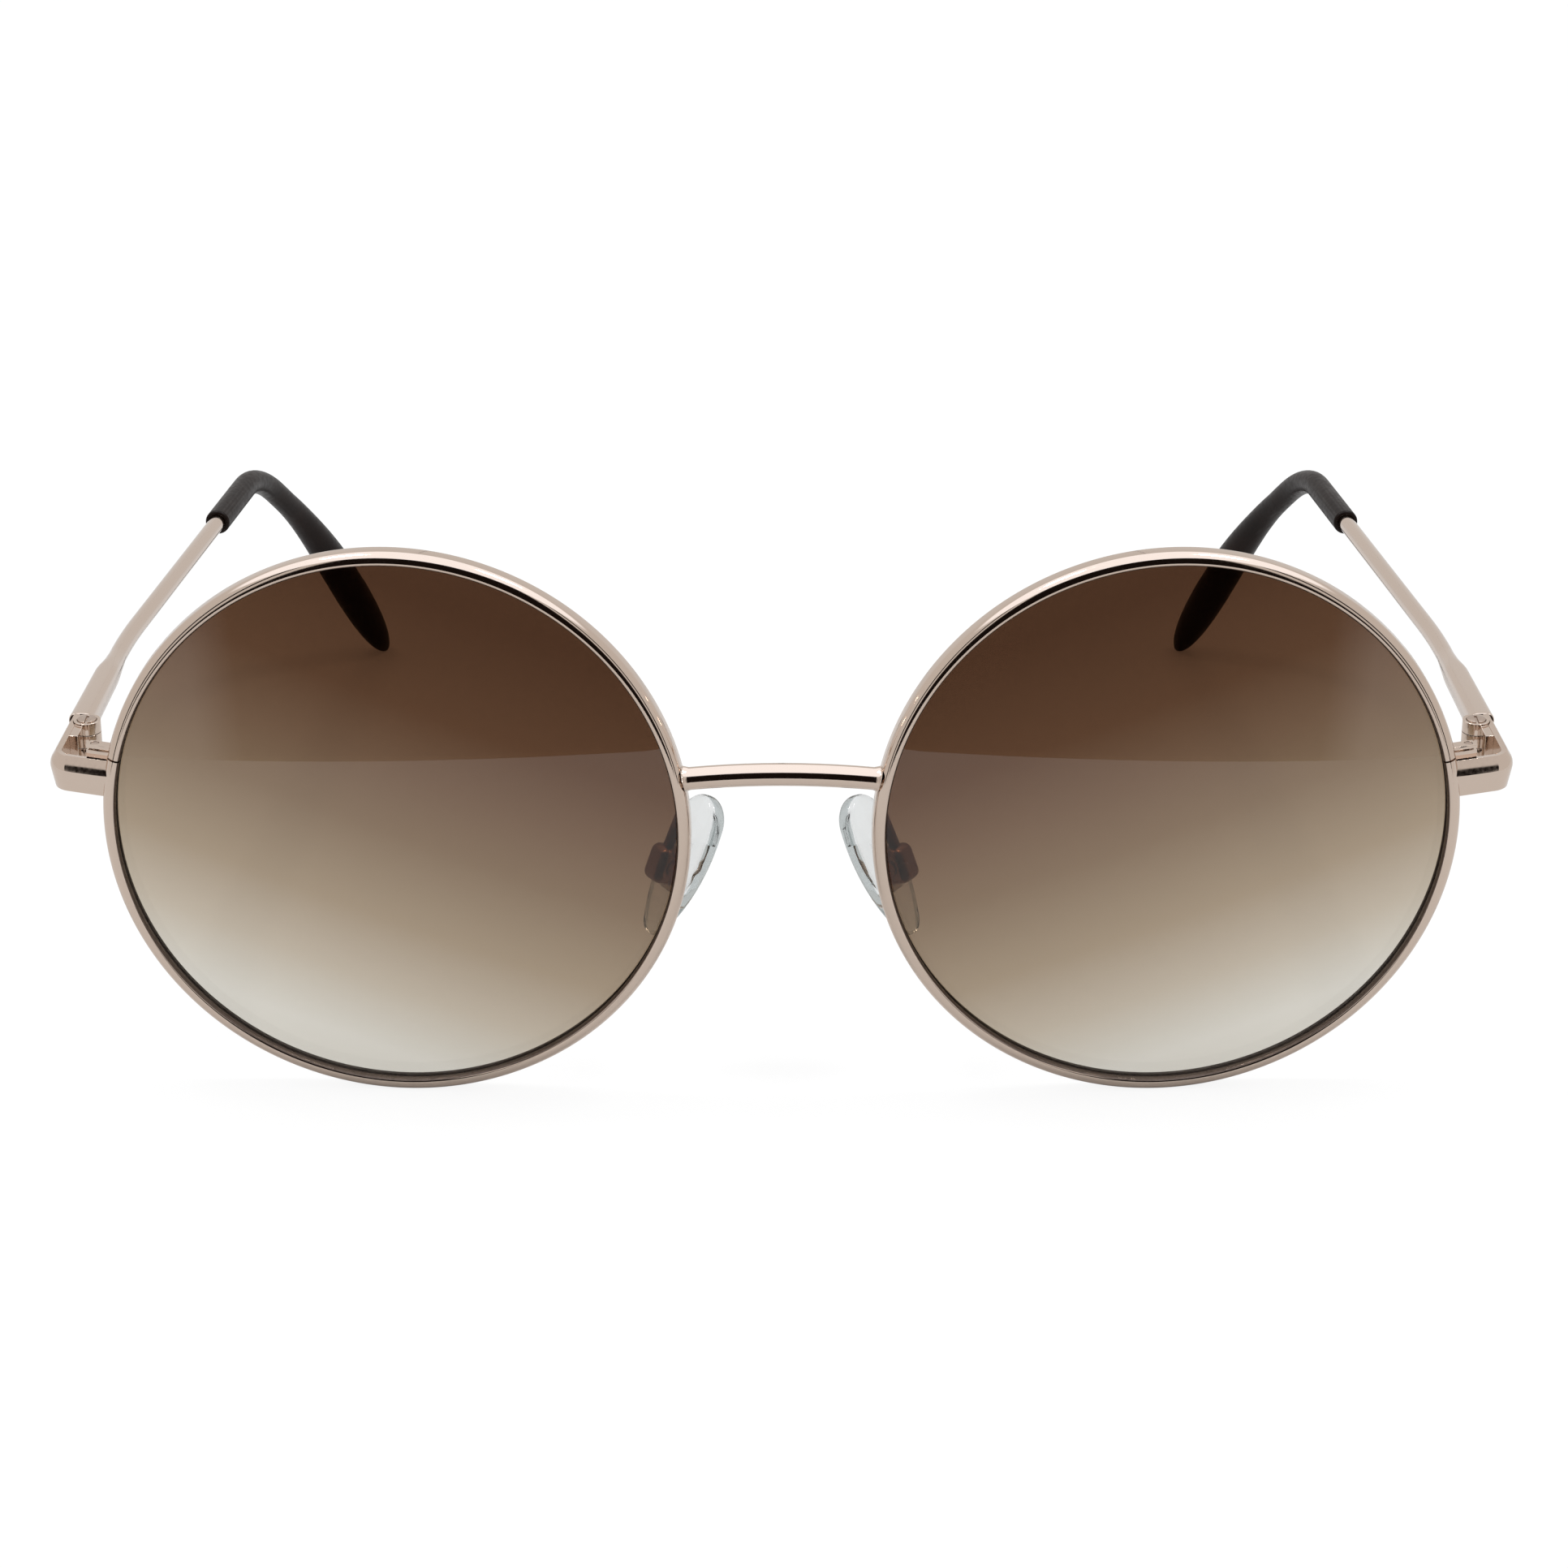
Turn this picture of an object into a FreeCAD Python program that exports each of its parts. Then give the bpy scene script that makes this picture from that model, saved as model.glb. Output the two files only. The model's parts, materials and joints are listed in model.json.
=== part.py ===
import FreeCAD, Part
import math
import os

import Sketcher
from FreeCAD import Placement, Rotation, Vector

# Oversized round wire sunglasses, standing open on the bottoms of the rims and the ends of the tips.
# Drawn about the front: X to the wearer's left, Y from the front to the ears, Z up, zero height
# at the lens centres. The whole assembly is then leaned until it stands on the table.

doc = FreeCAD.newDocument("round_sunglasses")
sheet = doc.addObject("Spreadsheet::Sheet", "Dims")

DRIVING_DIMENSIONS = {
    # rims and lenses
    "lens_centre": 37.67,
    "face_wrap": 3.58,
    "rim_set": 0.6,
    "rim_inner": 27.6,
    "rim_crest": 28.0,
    "rim_outer": 28.91,
    "rim_depth": 2.3,
    "rim_back_round": 0.35,
    "rim_lip_round": 0.25,
    "groove_radius": 28.2,
    "groove_half": 0.3,
    "slit_height": 7.0,
    "slit_gap": 0.2,
    "lens_edge": 28.15,
    "lens_body": 27.55,
    "lens_bevel": 0.25,
    "lens_front_edge": 0.35,
    "lens_back_edge": 1.1,
    "lens_curve": 175.0,
    "solder_gap": 0.03,
    # bridge
    "bridge_radius": 1.12,
    "bridge_arch": 89.0,
    "bridge_top": 6.3,
    "bridge_set": 1.1,
    "bridge_flare": 1.35,
    "bridge_flare_run": 1.4,
    "bridge_flare_start": 8.2,
    # end pieces
    "strip_height": 3.7,
    "strip_level": 4.4,
    "strip_back": 0.45,
    "strip_edge": 0.1,
    "strip_land": 1.75,
    "ridge_rise": 0.35,
    "ridge_radius": 1.6,
    "upper_slope": 33.0,
    "lower_slope": 10.0,
    "strip_start": 64.4,
    "strip_set": 1.74,
    "strip_sweep": 18.5,
    "corner_run": 5.91,
    "corner_radius": 1.8,
    "leg_toe": 3.3,
    "leg_run": 8.41,
    # closing blocks that clamp the rim around the lens
    "block_run": 4.0,
    "block_front": 0.5,
    "block_depth": 1.15,
    "block_bottom": 2.9,
    "block_top": 7.45,
    "closing_along": 3.3,
    "closing_radius": 0.4,
    "closing_head": 0.6,
    "closing_head_height": 0.4,
    "closing_reach": 7.45,
    # hinges
    "hinge_x": 69.3,
    "hinge_y": 12.1,
    "barrel_radius": 1.35,
    "barrel_height": 3.9,
    "leaf_height": 1.3,
    "leaf_gap": 1.4,
    "leaf_relief": 1.46,
    "pin_radius": 0.68,
    "pin_hole": 0.72,
    "pin_head": 0.95,
    "pin_head_height": 0.42,
    "pin_seat": 1.0,
    "pin_seat_depth": 0.35,
    "screw_slot": 0.26,
    "plate_inner": 0.2,
    "plate_outer": 1.06,
    "plate_run": 3.6,
    "plate_height": 3.4,
    # spring hinge inside the front end of each temple
    "temple_toe": 0.68,
    "temple_drop": 4.4,
    "butt": 1.92,
    "bore_side": 0.65,
    "bore_rise": 0.1,
    "shank_half": 0.45,
    "shank_height": 1.0,
    "shank_start": 0.9,
    "shank_end": 5.0,
    "shank_play": 0.05,
    "shaft_radius": 0.33,
    "shaft_end": 13.6,
    "shaft_play": 0.04,
    "stop_radius": 0.57,
    "stop_start": 12.7,
    "stop_length": 0.8,
    "web_start": 5.05,
    "web_end": 5.8,
    "bore_radius": 0.62,
    "bore_end": 15.0,
    "spring_coil": 0.46,
    "spring_wire": 0.09,
    "spring_turns": 10,
    "spring_play": 0.12,
    "box_inner": 0.32,
    "box_outer": 1.4,
    "box_end": 18.6,
    "box_front_half": 1.25,
    "box_rear_half": 1.11,
    "box_round": 0.5,
    # temples and tips
    "wire_radius": 0.94,
    "wire_side": 0.92,
    "wire_rise": 0.6,
    "flat_half": 1.35,
    "flat_reach": 1.33,
    "flat_side": 1.42,
    "taper_end": 23.4,
    "bow_at": 29.4,
    "bow_radius": 140.0,
    "bow": 4.6,
    "bend_at": 94.4,
    "bend_radius": 17.0,
    "tip_bend": 39.5,
    "tip_roll": 19.4,
    "curl_at": 18.0,
    "curl_radius": 45.0,
    "curl": 23.0,
    "core_tail": 12.0,
    "tip_start": 73.4,
    "tip_radius": 1.42,
    "tip_play": 0.04,
    "tip_mouth_round": 0.35,
    "tube_tail": 8.0,
    "tip_tail": 40.8,
    # nose pads
    "pad_x": 9.95,
    "pad_y": 6.0,
    "pad_z": -6.8,
    "pad_splay": 35.0,
    "pad_tilt": 24.0,
    "pad_roll": 8.0,
    "pad_length": 15.3,
    "pad_width": 6.6,
    "pad_top_radius": 2.9,
    "pad_belly": 1.3,
    "pad_thick": 2.0,
    "pad_edge_round": 0.85,
    "lug_plate_length": 5.2,
    "lug_plate_width": 2.4,
    "lug_plate_thick": 0.4,
    "lug_plate_depth": 0.75,
    "lug_play": 0.03,
    "lug_width": 1.3,
    "lug_height": 2.2,
    "lug_reach": 2.95,
    "box_gap": 0.45,
    "holder_width": 3.0,
    "holder_height": 3.8,
    "holder_depth": 2.3,
    "holder_round": 0.9,
    "holder_slot_width": 1.44,
    "holder_slot_height": 3.0,
    "holder_slot_depth": 1.75,
    "pivot_out": 2.25,
    "pivot_radius": 0.45,
    "pivot_hole": 0.5,
    "pivot_head": 0.8,
    "pivot_head_height": 0.35,
    "arm_radius": 0.55,
    "arm_bend": 1.3,
    "arm_foot_x": 9.45,
    "arm_foot_y": -0.3,
    "arm_foot_z": -0.6,
    "arm_crest_x": 9.55,
    "arm_crest_y": 3.8,
    "arm_crest_z": 1.1,
}

for row, (alias, size) in enumerate(DRIVING_DIMENSIONS.items(), start=1):
    sheet.set(f"A{row}", alias)
    sheet.set(f"B{row}", str(size))
    sheet.setAlias(f"B{row}", alias)
doc.recompute()


def value(formula):
    """A sheet formula as a number; bare cell names are read from the sheet."""
    return float(sheet.evalExpression(formula))


def dim(alias):
    return value("Dims." + alias)


def bind(feature, **formulas):
    """Ties sizes of a feature to cells of the sheet."""
    for size, formula in formulas.items():
        feature.setExpression(size, formula)
    return feature


def turn(axis, degrees):
    return Placement(Vector(), Rotation(axis, degrees))


def shift(x, y, z):
    return Placement(Vector(x, y, z), Rotation())


X_AXIS = Vector(1, 0, 0)
Y_AXIS = Vector(0, 1, 0)
Z_AXIS = Vector(0, 0, 1)
ALONG_Y = turn(X_AXIS, -90)

# Frames in which the pieces of the wearer's left side are drawn.
LENS = shift(dim("lens_centre"), dim("rim_set"), 0) * turn(Z_AXIS, dim("face_wrap"))
SWEPT = shift(dim("strip_start"), dim("strip_set"), 0) * turn(Z_AXIS, dim("strip_sweep"))
STRIP = SWEPT * shift(0, 0, dim("strip_level"))
HINGE = shift(dim("hinge_x"), dim("hinge_y"), dim("strip_level"))
LEAF = HINGE * turn(Z_AXIS, dim("temple_toe"))
DROP = turn(X_AXIS, -dim("temple_drop"))
BORE = DROP * shift(dim("bore_side"), 0, dim("bore_rise"))
TEMPLE = LEAF * DROP
PAD = (shift(dim("pad_x"), dim("pad_y"), dim("pad_z"))
       * turn(Z_AXIS, -dim("pad_splay")) * turn(Y_AXIS, -dim("pad_tilt")))

pieces = {}


def keep(label, piece, frame=Placement()):
    """Names a finished piece and notes the frame in which it was drawn."""
    piece.Label = label
    pieces[label] = (piece, frame)


# Drawing helpers

def new_body(name):
    return doc.addObject("PartDesign::Body", name + "_body")


def new_sketch(body, name, plane, offset=Placement()):
    sketch = body.newObject("Sketcher::SketchObject", name)
    support = next(item for item in body.Origin.OriginFeatures if item.Role == plane)
    sketch.AttachmentSupport = [(support, "")]
    sketch.MapMode = "FlatFace"
    sketch.AttachmentOffset = offset
    return sketch


def arc_edge(start, end, radius, bows_right):
    """Arc of under a half circle; returns it with the numbers of its start and end points."""
    chord = end - start
    left = Vector(-chord.y, chord.x, 0).normalize()
    rise = math.sqrt(max(radius ** 2 - (chord.Length / 2) ** 2, 0.0))
    centre = start + chord * 0.5 + left * (rise if bows_right else -rise)
    first, last = (start, end) if bows_right else (end, start)
    angles = [math.atan2(point.y - centre.y, point.x - centre.x) for point in (first, last)]
    arc = Part.ArcOfCircle(Part.Circle(centre, Z_AXIS, radius), *angles)
    return (arc, 1, 2) if bows_right else (arc, 2, 1)


def hold(sketch, kind, geometry, point, formula):
    """Fixes one coordinate of a sketch point to a formula."""
    number = sketch.addConstraint(Sketcher.Constraint(kind, -1, 1, geometry, point, value(formula)))
    sketch.setExpression(f"Constraints[{number}]", formula)


def draw_outline(sketch, corners, closed=True):
    """Lines and arcs through corners given as formulas; a corner may add a radius and a side."""
    spots = [Vector(value(corner[0]), value(corner[1]), 0) for corner in corners]
    count = len(corners) if closed else len(corners) - 1
    ends = []
    for index in range(count):
        start = spots[index]
        end = spots[(index + 1) % len(spots)]
        if len(corners[index]) == 2:
            edge, first, last = Part.LineSegment(start, end), 1, 2
        else:
            radius, side = corners[index][2:]
            edge, first, last = arc_edge(start, end, value(radius), side == "right")
        geometry = sketch.addGeometry(edge, False)
        ends.append((geometry, first, last))
    for index, (geometry, first, last) in enumerate(ends):
        if closed or index + 1 < count:
            following = ends[(index + 1) % count]
            sketch.addConstraint(
                Sketcher.Constraint("Coincident", geometry, last, following[0], following[1]))
    for index, corner in enumerate(corners):
        geometry, point = (ends[index][0], ends[index][1]) if index < count else ends[-1][::2]
        hold(sketch, "DistanceX", geometry, point, corner[0])
        hold(sketch, "DistanceY", geometry, point, corner[1])
        if len(corner) > 2:
            number = sketch.addConstraint(
                Sketcher.Constraint("Radius", ends[index][0], value(corner[2])))
            sketch.setExpression(f"Constraints[{number}]", corner[2])


def rectangle(left, bottom, right, top):
    return [(left, bottom), (right, bottom), (right, top), (left, top)]


def pad(body, sketch, length):
    feature = body.newObject("PartDesign::Pad", sketch.Name + "_pad")
    feature.Profile = sketch
    feature.SideType = "Symmetric"
    return bind(feature, Length=length)


def round_edges(body, radius, chosen):
    """Fillets the edges of a body whose middle satisfies a test."""
    doc.recompute()
    base = body.Tip
    names = [f"Edge{number}" for number, edge in enumerate(base.Shape.Edges, start=1)
             if chosen(edge.CenterOfMass)]
    feature = body.newObject("PartDesign::Fillet", body.Name + "_round")
    feature.Base = (base, names)
    return bind(feature, Radius=radius)


def round_off(name, base, radius, chosen):
    """Rounds the edges of a fused piece whose middle satisfies a test."""
    doc.recompute()
    piece = doc.addObject("Part::Fillet", name)
    piece.Base = base
    piece.Edges = [(number, radius, radius) for number, edge in enumerate(base.Shape.Edges, start=1)
                   if chosen(edge.CenterOfMass)]
    return piece


def primitive(kind, name, place=Placement(), **formulas):
    piece = doc.addObject("Part::" + kind, name)
    piece.Placement = place
    return bind(piece, **formulas)


def rod(name, radius, length, place):
    return primitive("Cylinder", name, place, Radius=radius, Height=length)


def block(name, place, length, width, height):
    return primitive("Box", name, place, Length=length, Width=width, Height=height)


def fuse(name, *solids):
    piece = doc.addObject("Part::MultiFuse", name)
    piece.Shapes = list(solids)
    return piece


def cut(name, base, *tools):
    piece = doc.addObject("Part::Cut", name)
    piece.Base = base
    piece.Tool = tools[0] if len(tools) == 1 else fuse(name + "_tools", *tools)
    return piece


def bent_rod(name, corners, radius, *bend_radii):
    """Round wire along straight runs joined by tangent bends, one bend radius for each inner corner."""
    parts = []
    start = corners[0]
    for number, corner in enumerate(corners[1:], start=1):
        heading = (corner - corners[number - 1]).normalize()
        last = number + 1 == len(corners)
        stop = corner
        if not last:
            leaving = (corners[number + 1] - corner).normalize()
            angle = heading.getAngle(leaving)
            bend = value(bend_radii[number - 1])
            stop = corner - heading * (bend * math.tan(angle / 2))
        run = primitive("Cylinder", f"{name}_run{number}", Placement(start, Rotation(Z_AXIS, heading)),
                        Radius=radius)
        run.Height = (stop - start).Length
        parts.append(run)
        if not last:
            inward = (leaving - heading * leaving.dot(heading)).normalize()
            frame = Rotation(-inward, heading, (-inward).cross(heading), "ZXY")
            elbow = primitive("Torus", f"{name}_bend{number}", Placement(stop + inward * bend, frame),
                              Radius1=bend_radii[number - 1], Radius2=radius)
            elbow.Angle3 = math.degrees(angle)
            parts.append(elbow)
            start = corner + leaving * (bend * math.tan(angle / 2))
    return fuse(name, *parts)


def oval(name, place, half_width, half_depth):
    """Ellipse for a loft, its long half along the first axis of its place."""
    return primitive("Ellipse", name, place, MajorRadius=half_width, MinorRadius=half_depth)


def loft(name, sections, ruled):
    piece = doc.addObject("Part::Loft", name)
    piece.Sections = sections
    piece.Solid = True
    piece.Ruled = ruled
    return piece


# Rim: one grooved wire bent round the lens, its two ends apart at the closing blocks.

slit_angle = math.degrees(math.asin(dim("slit_height") / dim("rim_outer")))
rim = new_body("rim")
rim_section = new_sketch(rim, "rim_section", "XY_Plane")
inner_quarter = "(Dims.rim_crest - Dims.rim_inner)"
outer_quarter = "(Dims.rim_outer - Dims.rim_crest)"
rim_shoulder = f"{outer_quarter} - Dims.rim_depth / 2"
draw_outline(rim_section, [
    ("-Dims.rim_inner", f"{inner_quarter} - Dims.rim_depth / 2", inner_quarter, "left"),
    ("-Dims.rim_crest", "-Dims.rim_depth / 2", outer_quarter, "left"),
    ("-Dims.rim_outer", rim_shoulder),
    ("-Dims.rim_outer", "Dims.rim_depth / 2 - Dims.rim_back_round", "Dims.rim_back_round", "left"),
    ("-Dims.rim_outer + Dims.rim_back_round", "Dims.rim_depth / 2"),
    ("-Dims.rim_inner - Dims.rim_lip_round", "Dims.rim_depth / 2", "Dims.rim_lip_round", "left"),
    ("-Dims.rim_inner", "Dims.rim_depth / 2 - Dims.rim_lip_round"),
    ("-Dims.rim_inner", "Dims.groove_half"),
    ("-Dims.groove_radius", "0"),
    ("-Dims.rim_inner", "-Dims.groove_half"),
])
rim_ring = rim.newObject("PartDesign::Revolution", "rim_ring")
rim_ring.Profile = rim_section
rim_ring.ReferenceAxis = (rim_section, ["V_Axis"])
rim_ring.Midplane = True
bind(rim_ring, Angle="360 - Dims.slit_gap / Dims.rim_outer * 180 / pi")
keep("rim_left", rim, LENS * turn(Y_AXIS, -slit_angle))

# Lens: curved tinted blank with a bevelled edge that sits in the groove of the rim.

lens = new_body("lens")
lens_section = new_sketch(lens, "lens_section", "XY_Plane")
inner_curve = "Dims.lens_curve - Dims.lens_front_edge - Dims.lens_back_edge"
front_sag = "(Dims.lens_curve - sqrt(Dims.lens_curve ^ 2 - Dims.lens_body ^ 2))"
back_sag = f"({inner_curve} - sqrt(({inner_curve}) ^ 2 - Dims.lens_body ^ 2))"
draw_outline(lens_section, [
    ("0", f"-Dims.lens_front_edge - {front_sag}", "Dims.lens_curve", "right"),
    ("Dims.lens_body", "-Dims.lens_front_edge"),
    ("Dims.lens_body", "-Dims.lens_bevel"),
    ("Dims.lens_edge", "0"),
    ("Dims.lens_body", "Dims.lens_bevel"),
    ("Dims.lens_body", "Dims.lens_back_edge", inner_curve, "left"),
    ("0", f"Dims.lens_back_edge - {back_sag}"),
])
lens_blank = lens.newObject("PartDesign::Revolution", "lens_blank")
lens_blank.Profile = lens_section
lens_blank.ReferenceAxis = (lens_section, ["V_Axis"])
lens_blank.Angle = 360
keep("lens_left", lens, LENS)


# The outside of a rim, used to shape whatever is soldered to it.

def rim_saddle(name, side):
    place = shift(side * dim("lens_centre"), dim("rim_set"), 0) * turn(Z_AXIS, side * dim("face_wrap"))
    depth = 8 * dim("rim_depth")
    saddle = rod(name, "Dims.rim_outer + Dims.solder_gap", "8 * Dims.rim_depth",
                 place * shift(0, -depth / 2, 0) * ALONG_Y)
    return saddle


# Bridge: a slightly arched round bar that flares where it is soldered to the two rims.

bridge_reach = dim("bridge_flare_start") + dim("bridge_flare_run")
bridge_sweep = 2 * math.degrees(math.asin(bridge_reach / dim("bridge_arch")))
bridge_frame = (shift(0, -dim("bridge_set"), dim("bridge_top") - dim("bridge_arch"))
                * turn(X_AXIS, 90) * turn(Z_AXIS, 90 - bridge_sweep / 2))
bridge_bar = primitive("Torus", "bridge_bar", bridge_frame,
                       Radius1="Dims.bridge_arch", Radius2="Dims.bridge_radius")
bridge_bar.Angle3 = bridge_sweep
flares = []
for side in (-1, 1):
    flare_level = dim("bridge_top") - dim("bridge_flare_start") ** 2 / (2 * dim("bridge_arch"))
    lean = math.degrees(math.asin(dim("bridge_flare_start") / dim("bridge_arch")))
    place = (shift(side * dim("bridge_flare_start"), -dim("bridge_set"), flare_level)
             * turn(Y_AXIS, side * (90 + lean)))
    flares.append(primitive("Cone", f"bridge_flare{side + 2}", place, Radius1="0.85 * Dims.bridge_radius",
                            Radius2="Dims.bridge_flare", Height="Dims.bridge_flare_run"))
bridge = cut("bridge_cut", fuse("bridge_blank", bridge_bar, *flares),
             rim_saddle("bridge_saddle_left", 1), rim_saddle("bridge_saddle_right", -1))
keep("bridge", bridge)

# End piece: a ridged strip soldered to the shoulder of the rim, swept back and bent round to the hinge.

strip = new_body("end_piece")
strip_path = new_sketch(strip, "strip_path", "XY_Plane")
leg_turn = "(90 + Dims.leg_toe - Dims.strip_sweep) * 1 deg"
leg_x = f"(Dims.corner_run + Dims.corner_radius * sin({leg_turn}))"
leg_y = f"(Dims.corner_radius * (1 - cos({leg_turn})))"
draw_outline(strip_path, [
    ("0", "0"),
    ("Dims.corner_run", "0", "Dims.corner_radius", "right"),
    (leg_x, leg_y),
    (f"{leg_x} + Dims.leg_run * cos({leg_turn})", f"{leg_y} + Dims.leg_run * sin({leg_turn})"),
], closed=False)
strip_section = new_sketch(strip, "strip_section", "YZ_Plane")
upper_slope = "Dims.upper_slope * 1 deg"
lower_slope = "Dims.lower_slope * 1 deg"
upper_z = f"(Dims.ridge_rise + Dims.ridge_radius * sin({upper_slope}))"
lower_z = f"(Dims.ridge_rise - Dims.ridge_radius * sin({lower_slope}))"
upper_y = f"(-Dims.strip_edge - (Dims.strip_height / 2 - {upper_z}) * tan({upper_slope}))"
lower_y = f"({upper_y} + Dims.ridge_radius * (cos({upper_slope}) - cos({lower_slope})))"
draw_outline(strip_section, [
    ("-Dims.strip_edge", "Dims.strip_height / 2"),
    (upper_y, upper_z, "Dims.ridge_radius", "right"),
    (lower_y, lower_z),
    (f"{lower_y} + ({lower_z} + Dims.strip_height / 2) * tan({lower_slope})", "-Dims.strip_height / 2"),
    ("Dims.strip_back", "-Dims.strip_land"),
    ("Dims.strip_back", "Dims.strip_land"),
])
strip_bar = strip.newObject("PartDesign::AdditivePipe", "strip_bar")
strip_bar.Profile = strip_section
strip_bar.Spine = (strip_path, ["Edge1", "Edge2", "Edge3"])
strip.Placement = STRIP
shoulder = value(rim_shoulder)
form_reach = "4 * Dims.rim_depth"
rim_form = (
    primitive("Torus", "rim_form_ring", LENS * shift(0, shoulder, 0) * ALONG_Y,
              Radius1="Dims.rim_crest", Radius2=f"{outer_quarter} + Dims.solder_gap"),
    rod("rim_form_back", "Dims.rim_outer + Dims.solder_gap", form_reach,
        LENS * shift(0, shoulder, 0) * ALONG_Y),
    rod("rim_form_front", "Dims.rim_crest", form_reach,
        LENS * shift(0, shoulder - value(form_reach), 0) * ALONG_Y))
barrel_relief = rod("barrel_relief", "Dims.leaf_relief", "2 * Dims.strip_height",
                    HINGE * shift(0, 0, -dim("strip_height")))
shank_relief = block("shank_relief", HINGE * shift(0, 0, -dim("leaf_gap") / 2),
                     "Dims.leaf_relief", "2 * Dims.butt", "Dims.leaf_gap")
keep("end_piece_left", cut("end_piece_cut", strip, *rim_form, barrel_relief, shank_relief))


# Closing blocks: soldered to the two ends of the rim behind the end piece, drawn together by a screw.

def closing_block(name, bottom, top, hole_bottom, hole_top):
    solid = block(name + "_solid", SWEPT * shift(0, dim("block_front"), value(bottom)),
                  "Dims.block_run", "Dims.block_depth", f"{top} - ({bottom})")
    hole = rod(name + "_hole", "Dims.closing_radius + Dims.shaft_play", f"{hole_top} - ({hole_bottom})",
               CLOSING * shift(0, 0, value(hole_bottom)))
    return cut(name, solid, rim_saddle(name + "_saddle", 1), hole)


CLOSING = SWEPT * shift(dim("closing_along"), dim("block_front") + dim("block_depth") / 2, 0)
upper_floor = "Dims.slit_height + Dims.slit_gap / 2"
lower_roof = "Dims.slit_height - Dims.slit_gap / 2"
keep("closing_block_upper_left",
     closing_block("block_upper", upper_floor, "Dims.block_top", upper_floor, "Dims.closing_reach"))
keep("closing_block_lower_left",
     closing_block("block_lower", "Dims.block_bottom", lower_roof, "Dims.block_bottom", lower_roof))
closing_head = rod("closing_head_disc", "Dims.closing_head", "Dims.closing_head_height",
                   CLOSING * shift(0, 0, dim("block_bottom") - dim("closing_head_height")))
closing_shank = rod("closing_shank", "Dims.closing_radius",
                    "Dims.closing_reach - Dims.shaft_play - Dims.block_bottom",
                    CLOSING * shift(0, 0, dim("block_bottom")))
closing_slot = block("closing_slot",
                     CLOSING * shift(-dim("screw_slot") / 2, -dim("block_depth") / 2,
                                     dim("block_bottom") - 1.5 * dim("closing_head_height")),
                     "Dims.screw_slot", "Dims.block_depth", "Dims.closing_head_height")
keep("closing_screw_left", cut("closing_screw", fuse("closing_blank", closing_head, closing_shank),
                               closing_slot))


# Hinge: two knuckles on a plate soldered inside the end piece, a leaf knuckle between them, a screw.

def upright(name, radius, bottom, height):
    return rod(name, radius, height, shift(0, 0, value(bottom)))


plate_place = (turn(Z_AXIS, dim("leg_toe"))
               * shift(dim("plate_inner"), -dim("plate_run"), -dim("plate_height") / 2))
knuckles = fuse(
    "knuckle_blank",
    upright("knuckle_barrel", "Dims.barrel_radius", "-Dims.barrel_height / 2", "Dims.barrel_height"),
    block("knuckle_plate", plate_place, "Dims.plate_outer - Dims.plate_inner", "Dims.plate_run",
          "Dims.plate_height"))
keep("hinge_knuckles_left", cut(
    "knuckle_cut", knuckles,
    upright("knuckle_gap", "Dims.leaf_relief", "-Dims.leaf_gap / 2", "Dims.leaf_gap"),
    upright("knuckle_hole", "Dims.pin_hole", "-Dims.barrel_height", "2 * Dims.barrel_height"),
    upright("knuckle_seat", "Dims.pin_seat", "Dims.barrel_height / 2 - Dims.pin_seat_depth",
            "Dims.pin_seat_depth")), HINGE)

head_floor = "Dims.barrel_height / 2 - Dims.pin_seat_depth + Dims.solder_gap"
pin = fuse("pin_blank",
           upright("pin_shank", "Dims.pin_radius", "-Dims.barrel_height / 2",
                   f"Dims.barrel_height / 2 + {head_floor}"),
           upright("pin_head_disc", "Dims.pin_head", head_floor, "Dims.pin_head_height"))
pin_slot = block("pin_slot", shift(-dim("screw_slot") / 2, -dim("pin_head"),
                                   value(head_floor) + dim("pin_head_height") / 2),
                 "Dims.screw_slot", "2 * Dims.pin_head", "Dims.pin_head_height")
keep("hinge_screw_left", cut("pin_cut", pin, pin_slot), HINGE)

# Leaf: knuckle, square shank that guides the temple, and a thin shaft that pulls on the spring.

shank_place = BORE * shift(-dim("shank_half"), dim("shank_start"), -dim("shank_height") / 2)
leaf = fuse(
    "leaf_blank",
    upright("leaf_barrel", "Dims.barrel_radius", "-Dims.leaf_height / 2", "Dims.leaf_height"),
    block("leaf_shank", shank_place, "2 * Dims.shank_half", "Dims.shank_end - Dims.shank_start",
          "Dims.shank_height"),
    rod("leaf_shaft", "Dims.shaft_radius", "Dims.shaft_end - Dims.shank_start",
        BORE * shift(0, dim("shank_start"), 0) * ALONG_Y))
keep("hinge_leaf_left", cut("leaf_cut", leaf, upright("leaf_hole", "Dims.pin_hole",
                                                      "-Dims.leaf_height", "2 * Dims.leaf_height")),
     LEAF)


def along(name, radius, start, end):
    """Round solid on the axis of the spring."""
    place = shift(dim("bore_side"), value(start), dim("bore_rise")) * ALONG_Y
    return rod(name, radius, f"{end} - ({start})", place)


stop_end = "Dims.stop_start + Dims.stop_length"
keep("spring_stop_left", cut(
    "stop_cut", along("stop_disc", "Dims.stop_radius", "Dims.stop_start", stop_end),
    along("stop_hole", "Dims.shaft_radius + Dims.solder_gap", "Dims.stop_start", stop_end)), TEMPLE)

# Spring box: housing soldered to the flat of the temple, slotted for the shank and bored for the spring.

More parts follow.
